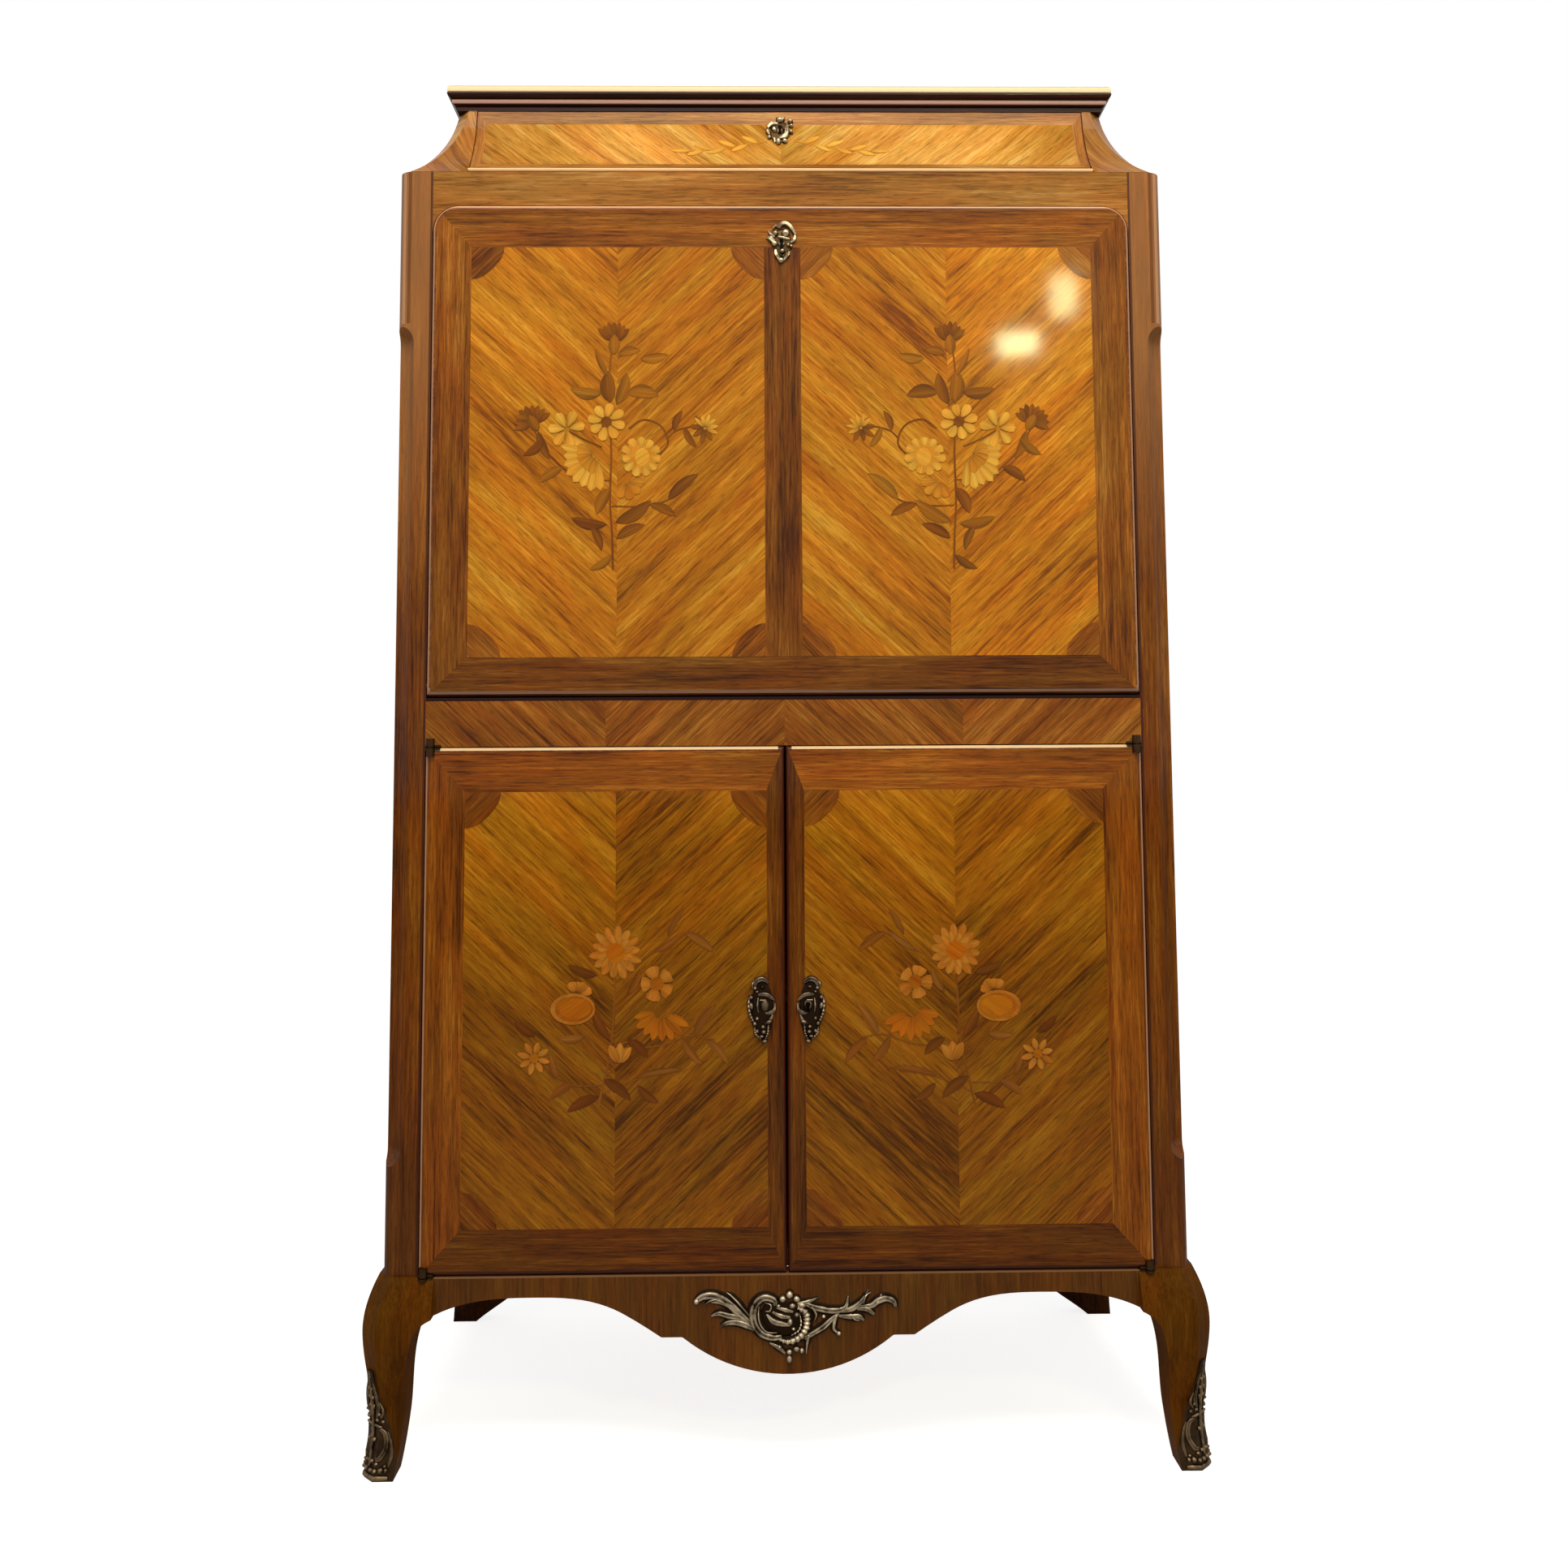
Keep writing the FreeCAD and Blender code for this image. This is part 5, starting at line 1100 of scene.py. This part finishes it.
def bead(wall, centre, radii, height, turn=0, dark=0.0, lift=0.0, mirror=1):
    """Half-buried oval, turned by degrees: rows run from the crown to the root, columns round it."""
    s, t = np.meshgrid(np.linspace(0, math.pi, 10),
                       np.linspace(0, 2 * math.pi, AROUND, endpoint=False), indexing="ij")
    a, b = radii[0] * np.sin(s) * np.cos(t), radii[1] * np.sin(s) * np.sin(t)
    turn = mirror * math.radians(turn)
    c, k = math.cos(turn), math.sin(turn)
    h = lift + np.where(s < math.pi / 2, height, ROOT) * np.cos(s)
    # Dark towards the root as patina, bright on the crown partly as painted highlight.
    shade = np.clip(0.9 * (1 - np.cos(s)) + dark, 0, 1)
    return patch(wall[0](centre[0] + a * c - b * k, centre[1] + a * k + b * c, h), shade=shade, wrap=True)


def cast(name, wall, strokes, beads, body, node=None, centre=(0.0, 0.0), mirror=1, lift=0.0, finish=bronze,
         ground=0.0):
    """A mount drawn about its centre, mirrored where asked. A stroke is a path, a width, a height, its
    swell, and a groove and a number of ribs where it has them. A bead is a place, two radii and a
    height, and a turn and a darkness where it has them. ground widens a dark foot under every stroke,
    painted shadow where the undercut strokes shade the ground."""
    spot = lambda p: (centre[0] + mirror * p[0], centre[1] + p[1])
    patches = [rib(wall, [spot(p) for p in points], *shape, lift=lift) for points, *shape in strokes]
    # Dark feet under the strokes: painted shadow.
    if ground:
        patches += [rib(wall, [spot(p) for p in points], width + ground, FOOT, swell, lift=lift, dark=1.0)
                    for points, width, _, swell, *_ in strokes]
    patches += [bead(wall, spot(p), *shape, lift=lift, mirror=mirror) for p, *shape in beads]
    piece = make(name, patches, finish, body, weld=True)
    if node:
        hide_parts(node)
    print(name, len(strokes), "strokes", len(beads), "beads", len(piece.data.polygons), "faces")


# %% [markdown]
# ## The apron mount
# An asymmetrical cartouche: a grooved C-scroll opens to the right, a gadrooned one closes it below,
# a shell sits on top, and acanthus branches run out to both sides. Thin veins run beside the larger
# strokes, and a dark foot under each is painted shadow, the shade under the undercut strokes.

# %% Apron mount
mount_strokes = [
    ([(-33, 132), (-45, 142), (-55, 151.5), (-67.5, 158), (-78, 158), (-85, 154)],
     8, 5, (0.5, 1, 1, 0.9, 0.6), 0.35),
    ([(-39, 137), (-51.5, 147.5), (-61, 152), (-71.5, 152.5)], 5.5, 4.5, (0.5, 1, 0.8, 0.3), 0.2),
    ([(-38, 135), (-46, 139), (-55, 140.5), (-64, 142.5), (-71.5, 140)],
     6, 4.5, (0.5, 1, 1, 0.8, 0.3), 0.3),
    ([(-30, 127), (-38, 131.5), (-48, 134.5), (-56, 134), (-62.5, 131)],
     6, 4.5, (0.6, 1, 1, 0.8, 0.4), 0.3),
    ([(-12, 149), (-13, 154), (-22, 156.5), (-30, 151), (-32.5, 141), (-30.5, 131.5), (-24, 124),
      (-14, 120.5), (-6, 121)], 7.5, 6, (0.5, 0.9, 1, 1, 1, 0.9, 0.6), 0.35),
    ([(-20, 141), (-14, 135), (-6, 132.5), (2, 131)], 6, 4, (0.3, 1, 0.9, 0.4), 0.2),
    ([(-15, 143), (-6, 139.5), (2, 138)], 5, 4, (0.4, 1, 0.5), 0.2),
    ([(-11, 147), (-2, 145), (5, 143)], 4.5, 4, (0.4, 1, 0.5), 0.2),
    ([(9, 147), (16, 143), (17.5, 136), (16, 128), (9.5, 120), (0, 116.5), (-8, 118.5)], 7, 5.5,
     (0.6, 1, 1, 1, 0.8, 0.5), 0.0, 13),
    ([(15, 119.5), (30, 128), (40, 136), (47, 141.5)], 5.5, 4.5, (0.8, 1, 0.9, 0.5), 0.3),
    ([(9, 150), (18, 152), (30, 156)], 5, 4, (1, 0.8, 0.2), 0.2),
    ([(17, 150), (27, 146.5), (42, 144), (53, 146.5), (56, 156.5)], 6, 4.5, (0.7, 1, 1, 0.8, 0.1), 0.3),
    ([(50, 143), (60, 146), (68.5, 152.5), (75, 162)], 6, 4.5, (0.6, 1, 0.8, 0.1), 0.2),
    ([(64, 145), (73, 145), (80, 140)], 6, 4, (0.5, 1, 0.5), 0.2),
    ([(66, 147), (77, 148), (83, 152), (91, 154.5), (98, 151.5), (100, 146)],
     6.5, 4.5, (0.5, 0.9, 1, 0.9, 0.4), 0.3),
    ([(83, 151), (87, 158)], 3.5, 3.5, (1, 0.2)),
    ([(47, 139), (57, 138.5), (66, 138.5), (70.5, 134.5)], 5.5, 4, (0.5, 1, 1, 0.4), 0.2),
    ([(45, 140), (42.5, 132), (42.5, 127), (46.5, 123.5)], 4, 3.5, (0.7, 1, 0.8, 0.7)),
    ([(19, 122.5), (17.5, 115), (16.5, 105)], 4, 3.5, (1, 0.8, 0.2)),
    ([(-17, 115.5), (-9, 111.5), (-3, 106)], 4.5, 4, (0.5, 1, 0.6), 0.2),
    ([(-36, 140), (-44, 150), (-52, 158), (-57, 161)], 2.6, 4.5, (0.4, 1, 0.8, 0.3)),
    ([(-27, 149), (-27.5, 141), (-25.5, 132.5), (-19.5, 126), (-10, 124.5)], 2.4, 5, (0.4, 1, 1, 0.9, 0.4)),
    ([(-22, 152), (-16, 150), (-17, 145), (-21, 144)], 2.6, 4.5, (0.4, 1, 1, 0.5)),
    ([(10.5, 142), (12, 134), (9.5, 127), (3, 122)], 2.4, 4.5, (0.4, 1, 1, 0.4), 0.0, 7),
    ([(22, 148), (26, 141), (24, 134)], 2.8, 4, (0.8, 1, 0.3)),
    ([(20, 122), (33, 128.5), (43, 136.5)], 2.2, 5, (0.4, 1, 0.4)),
    ([(-60, 155), (-70, 155.5), (-77, 151)], 2.4, 5.4, (0.4, 1, 0.4)),
    ([(70, 150), (72, 157), (77, 160)], 2.6, 4, (0.7, 1, 0.3)),
    ([(58, 141), (62, 136), (67, 135)], 2.6, 4, (0.7, 1, 0.3)),
]
mount_beads = [
    ((-85, 153.5), (3.2, 3.2), 4.5), ((-5, 155), (4, 3.5), 5, 20), ((1.5, 159), (4, 4.2), 5.5),
    ((8, 155), (4, 3.5), 5, -20), ((13, 149.5), (4.5, 3.2), 5, -15), ((4, 149), (3.5, 3), 4.5),
    ((8, 141), (2.6, 2.6), 5), ((2, 134.5), (3, 3.6), 5), ((33, 139), (2.4, 2.4), 4),
    ((47, 123.5), (2.6, 2.6), 4), ((1, 101), (3, 4.5), 4), ((1, 107.5), (3.2, 3), 4.5),
    ((7.5, 110), (3.4, 3), 4), ((12.5, 108.5), (2.4, 3), 4), ((-8, 112), (2.6, 2.2), 4, -30),
    ((-7, 137), (20, 16.5), 1.3, -20, 1), ((-9, 149), (2.6, 2), 4.5, 30), ((5, 128), (2.2, 1.8), 3.6)
]
mount_wall = front_wall(edges("apron_mount")[1][1])
cast("apron_mount_cast", mount_wall, mount_strokes, mount_beads, "carcase", "apron_mount", ground=4.0)

# %% [markdown]
# ## The escutcheons
# The plates round the keyholes are small rocaille pieces: scrolls and a cascade of beads over a dark
# ground. Those of the doors are a pair, so one is drawn and mirrored. The drawer's is a ring of scrolls
# and drops that leans with the cove. The keyhole itself is a dark patch on the middle boss.

# %% Door and fall escutcheons
door_strokes = [
    ([(-7, 22), (-4.5, 27), (1, 28.5), (6.5, 25)], 5.5, 5, (0.6, 1, 1, 0.5), 0.3),
    ([(-3.5, 14), (1.5, 14.6), (6, 13.6), (9.5, 11), (12.5, 8.5)], 4.5, 5, (0.6, 1, 1, 0.8, 0.4), 0.2),
    ([(-2, 9), (3.7, 9)], 3.2, 4.5, (0.7, 0.7)),
    ([(-3.6, 11), (-4.2, 4), (-3.4, -2.5)], 2.8, 4.5, (0.6, 1, 0.6)),
    ([(-11, 15), (-12.5, 6), (-11.5, -3), (-9, -9), (-6, -14)], 3.6, 4, (0.5, 1, 1, 0.8, 0.5), 0.0, 9),
    ([(3, -3), (7, -3), (11.5, 0), (12.5, 6)], 4.2, 4.5, (0.5, 1, 0.9, 0.4), 0.2),
    ([(10, -4), (8, -9), (3, -13)], 3.6, 4, (0.5, 1, 0.6), 0.2),
    ([(-7, -16), (-6, -22), (-1, -27)], 3.2, 4, (0.6, 1, 0.5), 0.0, 5),
    ([(6, -14), (5.5, -21), (3, -27)], 3.2, 4, (0.6, 1, 0.5), 0.0, 5),
    ([(-6, 27), (-9, 24), (-8, 19)], 3, 4, (0.4, 1, 0.5)),
]
door_beads = [
    ((0, 0), (11, 28), 1.5, 0, 1), ((2.6, 4), (5, 6.5), 3.6, 0, 0.35), ((-6.3, 20.3), (2.4, 2.4), 5),
    ((-4.5, 17), (2, 1.8), 4.5), ((-10.2, 11.7), (2.6, 2.4), 5), ((-10, 3.7), (2.6, 4.2), 5, 12),
    ((-4.5, -8), (2.3, 2.3), 4.5), ((-6.8, -12.8), (2.3, 2.6), 4.5), ((6.6, -11), (4, 2.6), 5.5, 20),
    ((1, -15.7), (2.6, 2.2), 4.5), ((-4.6, -19.7), (2.5, 2.3), 4.5, 40), ((1.6, -20.3), (2.7, 2.4), 4.8),
    ((-0.3, -24.5), (2.8, 1.9), 4.5), ((2.4, -29), (3.4, 2.4), 5, 12), ((0.5, 21), (3, 2.2), 3, 0, 0.5)
]
leaf_wall = front_wall(panel_y - LEAF)
for side, label in SIDES:
    low, high = edges(label + "_door_escutcheon")
    middle = ((low[0] + high[0]) / 2, (low[2] + high[2]) / 2)
    cast(label + "_door_escutcheon_cast", leaf_wall, door_strokes, door_beads, "door_" + label,
         label + "_door_escutcheon", middle, -side, finish=plate_bronze)

fall_strokes = [
    ([(-3, 15), (-0.8, 18.6), (3.5, 19.6), (8, 16.8), (11, 12.5), (13.4, 8)],
     4.6, 5, (0.6, 1, 1, 0.9, 0.6), 0.2),
    ([(-15, 5.5), (-11, 4), (-6, -2)], 6, 5, (0.4, 1, 0.6), 0.25),
    ([(-13.5, 12.5), (-11, 8.5), (-7, 6)], 4, 4, (0.3, 1, 0.6)),
    ([(-4, 6.5), (1.5, 4.8), (7.5, 4)], 4, 4.5, (0.6, 1, 0.6)),
    ([(13, 8), (12, 3), (8.5, 0.5)], 4, 4, (0.7, 1, 0.5), 0.2),
    ([(-6.5, -6.5), (-5.5, -12), (-1.4, -19)], 4.6, 4.5, (0.5, 1, 0.6), 0.25),
    ([(7.5, -8), (5.5, -12.5), (0, -19)], 4.2, 4.5, (0.5, 1, 0.5), 0.25),
    ([(-9, 14), (-6, 17), (-3, 15)], 3, 4, (0.4, 1, 0.5)),
]
fall_beads = [
    ((0, 0), (10, 15), 1.5, 0, 1), ((-0.5, 0), (4.5, 5.5), 3.2, 0, 0.5), ((3.6, 10), (4.4, 4.2), 5.8),
    ((-6.5, 9.8), (3.2, 3), 5), ((6, -2.2), (1.8, 2.4), 4.5), ((9, -3.4), (1.8, 2), 4),
    ((0.4, -8.4), (3, 2.8), 5), ((-1, -17.5), (3.4, 3.2), 4.5), ((1.5, -13), (2, 2), 3, 0, 0.5),
    ((-7.2, -1.0), (3.4, 3.0), 5.4, 30)
]
low, high = edges("fall_escutcheon")
FALL_DROP, DRAWER_DROP = 6.0, 5.0
fall_plate = np.array([(low[0] + high[0]) / 2, (low[2] + high[2]) / 2 - FALL_DROP])
cast("fall_escutcheon_cast", leaf_wall, fall_strokes, fall_beads, "fall", "fall_escutcheon", fall_plate,
     finish=bright_bronze)

# %% Drawer escutcheon and keyholes
drawer_strokes = [
    ([(-1.9, 9.4), (-7.8, 8.2), (-12.6, 4)], 5.4, 4.8, (0.5, 1, 0.6), 0.2),
    ([(-11.6, 3.8), (-12.5, -1), (-10.8, -5)], 4.2, 4.2, (0.6, 1, 0.5)),
    ([(8, 8), (7, 1.2), (6.6, -4.6), (3.6, -8.8), (-1.2, -9.2)], 5.6, 4.8, (0.5, 1, 1, 1, 0.6), 0.2),
    ([(-3.6, 17), (-1.2, 13.4), (3.6, 14.4), (4.8, 17.4)], 3.6, 4.0, (0.4, 1, 1, 0.4)),
    ([(-8.4, -7.2), (-5.6, -11.4), (-5.2, -15)], 3.6, 3.6, (0.4, 1, 0.4)),
]
drawer_beads = [
    ((0, -0.6), (10.2, 14.4), 1.5, 0, 1), ((0, 1.2), (5, 7), 3.2, 0, 0.6), ((0, 13.4), (4.2, 3.6), 5),
    ((-5.8, 1), (2.6, 4.2), 5, 25), ((10.8, 11.6), (3.1, 2.5), 4.5), ((11.8, 6.2), (2.3, 2), 4),
    ((11.4, -1.6), (2.2, 2.2), 4), ((-1.6, -14), (2.7, 4.2), 4.8),
    ((5, -13.8), (2.9, 2.4), 4.2), ((-10.8, -8.4), (2, 2), 3.6)
]
low, high = edges("drawer_escutcheon")
drawer_plate = np.array([-0.8, (low[2] + high[2]) / 2 - DRAWER_DROP])
cast("drawer_escutcheon_cast", cove_wall, drawer_strokes, drawer_beads, "drawer", "drawer_escutcheon",
     drawer_plate, lift=LEAF, finish=bright_bronze)

shadow = metal("keyhole_shadow", (20, 16, 12), (6, 5, 4), 0.6, 0.3)


def keyhole(name, wall, centre, body, lift):
    """A round with a slot that widens downwards, as one ruled patch."""
    rows = np.array([(1.0, 2.4), (1.9, 1.5), (2.2, 0.0), (1.6, -1.6), (1.2, -2.4), (1.5, -7.0)])
    hole = ruled(wall, rows * (-1, 1) + centre, rows + centre, LEVEL_GRAIN, lift=lift)
    make(name, [hole], shadow, body, smooth=False)


keyhole("fall_keyhole", leaf_wall, fall_plate + (-0.5, 1.0), "fall", 3.4)
keyhole("drawer_keyhole", cove_wall, drawer_plate + (0.0, 3.0), "drawer", 3.9)
door_key = np.array([20.4, edges("right_door_escutcheon")[0][2] + 38.0])
keyhole("door_keyhole", leaf_wall, door_key, "door_right", 3.9)
print("escutcheons are in place")

# %% [markdown]
# ## The sabots
# Each front foot stands in a bronze shoe that climbs the corner of the leg as a leaf. The leg's
# corner is cut off at a slant, so a corner wall folds the drawing round it: along the front face,
# over the slant and along the side face. Its place follows the leg's own curve, out at the foot, in
# at the ankle and out again to the knee.

# %% Sabots
ANKLE, KNEE = 48.0, 130.0
SHOE = 1.9


def ease(u):
    """Smooth step from 0 to 1."""
    u = np.clip(u, 0, 1)
    return u * u * (3 - 2 * u)


def leg_out(z):
    """How far the leg stands out from the carcase: 10 at the floor, 7 at the ankle, 16 at the knee."""
    return 7.0 + 3.0 * np.clip(1 - z / ANKLE, 0, 1) ** 2 + 9.0 * ease((z - ANKLE) / (KNEE - ANKLE))


def leg_cant(z):
    """How much the slant takes off each face: 9 at the floor, 11 at the ankle, 15 at the knee."""
    return 9.0 + 2.0 * ease(z / ANKLE) + 4.0 * ease((z - ANKLE) / (KNEE - ANKLE))


def corner_wall(side):
    """Wall folded round a front leg's corner: a runs from the front face to the right of it."""
    def place(a, b, h):
        """Place on the slant by the share of the way across it, and beyond it on either face."""
        a = side * a
        cut, out = leg_cant(b), leg_out(b)
        half = cut / math.sqrt(2)
        share = np.clip((a + half) / (2 * half), 0, 1)
        along_front, along_side = np.minimum(a + half, 0), np.maximum(a - half, 0)
        turn = math.pi / 2 * ease((a + 1.6 * half) / (3.2 * half))
        x = side_x + out - cut * (1 - share) + along_front + h * np.sin(turn)
        y = front_y - out + cut * share + along_side - h * np.cos(turn)
        return np.stack([side * x, y, b], -1)
    return place, (side, -1, 0)


half_strokes = [
    ([(6, 19), (10, 20.5), (14.5, 30), (13, 41), (8, 45.5)], 5.2, 3.4, (0.6, 1, 1, 0.9, 0.5), 0.3),
    ([(1, 47), (5, 48), (10, 47)], 3.4, 3, (0.6, 1, 0.6)),
    ([(4, 54), (7.5, 64), (5.5, 77), (1, 92)], 4.6, 2.8, (0.6, 1, 0.8, 0.2), 0.3),
    ([(9, 55), (11.5, 61), (9, 69)], 3.4, 2.6, (0.5, 1, 0.3)),
    ([(18, 12), (20, 22), (18.5, 33), (15, 42)], 3.8, 2.2, (0.6, 1, 0.8, 0.3), 0.2),
    ([(0, 3.2), (9, 3.2), (19, 3.2)], 5, 2.4, (0.9, 1, 0.7)),
]
half_beads = [
    ((2.4, 9.5), (2.1, 2.1), 3.4), ((6.8, 9.5), (2.2, 2.2), 3.6), ((11.8, 10), (2.9, 2.9), 4),
    ((16.4, 10), (2.1, 2.3), 3.4), ((15.2, 13.6), (1.7, 1.7), 3.2), ((5.5, 53), (2.1, 1.9), 3.2),
    ((11, 52), (1.8, 1.8), 3), ((8, 58.5), (1.8, 1.8), 3), ((2.6, 35), (1.9, 2.2), 3),
    ((2.6, 17), (1.8, 1.8), 3), ((7.5, 15.5), (1.8, 1.8), 3), ((2.2, 64), (1.6, 2.2), 2.8),
    ((2.2, 72), (1.5, 2), 2.8), ((2.0, 80), (1.4, 1.8), 2.6)
]
flip = lambda points: [(-a, b) for a, b in points]
sabot_strokes = half_strokes + [(flip(s[0]), *s[1:]) for s in half_strokes]
sabot_strokes.append(([(0, 12), (0, 40), (0, 70), (0, 94)], 4, 3, (0.7, 0.8, 0.9, 0.3), 0.0, 16))
sabot_beads = half_beads + [((-p[0], p[1]), *rest) for p, *rest in half_beads]
for side, label in SIDES:
    cast(label + "_sabot_cast", corner_wall(side), sabot_strokes, sabot_beads, "carcase", lift=SHOE,
         mirror=side, finish=sabot_bronze)

# %% [markdown]
# ## Gilt lines on the leather
# The writing leather is tooled with two thin gilt lines a little in from its edge. Each is made as
# four slim mitred leaves on the inside of the fall.

# %% Leather tooling
low, high = edges("fall_leather")
leather_wall = inner_wall(high[1])
for inset, width in ((14.0, 2.0), (20.0, 0.8)):
    outer = shrunk((low[0], high[0], low[2], high[2]), inset)
    line = mitred_bands(leather_wall, outer, shrunk(outer, width))
    make("leather_line_%d" % inset, line, gilding, "fall", smooth=False)
print("leather tooled")

# %% [markdown]
# ## The stage and the light
# A pale floor and a white surround, with a broad soft lamp above the front and weak fills at the
# sides. The light from above makes the top bright and leaves the legs darker, as in the photograph.
# Camera rays see the floor with a little light of its own, so that it is white up to the horizon
# and still darker in the shadow. Two small lamps give the bright spots on the polished fall.

# %% Lamps
def area_lamp(name, place, target, size, power, colour=(1.0, 1.0, 1.0)):
    """Soft rectangular lamp at place, turned to look at target."""
    data = bpy.data.lights.new(name, "AREA")
    data.shape, data.size, data.size_y, data.energy, data.color = "RECTANGLE", *size, power, colour
    back = np.array(place, float) - np.array(target, float)
    back /= np.linalg.norm(back)
    side = np.cross((0.0, 0.0, 1.0), back)
    side /= np.linalg.norm(side)
    aim(added(name, data), side, np.cross(back, side), back, place)


WARM, LEMON = (1.0, 0.95, 0.86), (0.92, 1.0, 0.5)
area_lamp("soft_overhead", (0.0, -1.3, 2.4), (0.0, -0.1, 1.0), (1.6, 0.9), 32.0, WARM)
for side, label in SIDES:
    area_lamp(label + "_fill", (side * 2.6, -1.6, 1.5), (0.0, 0.0, 0.7), (1.4, 1.8), 5.0)
area_lamp("spot_low", (0.61, -2.17, 1.69), (0.2, -0.18, 1.07), (0.1, 0.05), 3.2, LEMON)
area_lamp("spot_high", (0.725, -2.17, 1.81), (0.26, -0.18, 1.12), (0.06, 0.1), 2.5, LEMON)

WHITE = (1, 1, 1, 1)
LIGHT_CAST, LIGHT_SEEN = 0.25, 1.0
sky = Shader(bpy.data.worlds.new("surround"))
ray = sky.rays()
seen = sky.math("MAXIMUM", ray["Is Camera Ray"], ray["Is Glossy Ray"])
seen = sky.math("MAXIMUM", seen, ray["Is Transmission Ray"])
strength = sky.span(seen, 0.0, 1.0, LIGHT_CAST, LIGHT_SEEN)
bpy.context.scene.world = sky.surface("Background", Color=WHITE, Strength=strength)
print("lamps", len(bpy.data.lights))

# %% Floor
FLOOR_SIZE, FLOOR_GLOW = 80.0, 0.82
s, t = grid(2, 2)
ground = np.stack([(s - 0.5) * FLOOR_SIZE, (t - 0.5) * FLOOR_SIZE, np.zeros_like(s)], -1).reshape(-1, 3)
floor_mesh = bpy.data.meshes.new("floor")
floor_mesh.from_pydata(ground.tolist(), [], [(0, 2, 3, 1)])
pale = Shader(bpy.data.materials.new("floor"))
glow = pale.math("MULTIPLY", pale.rays()["Is Camera Ray"], FLOOR_GLOW)
floor_mesh.materials.append(pale.surface(
    Base_Color=linear(226, 226, 226), Roughness=0.9, Specular_IOR_Level=0.0,
    Emission_Color=WHITE, Emission_Strength=glow))
floor = added("floor", floor_mesh)
bpy.context.scene.view_settings.view_transform = "Standard"
print("floor", FLOOR_SIZE, "m")
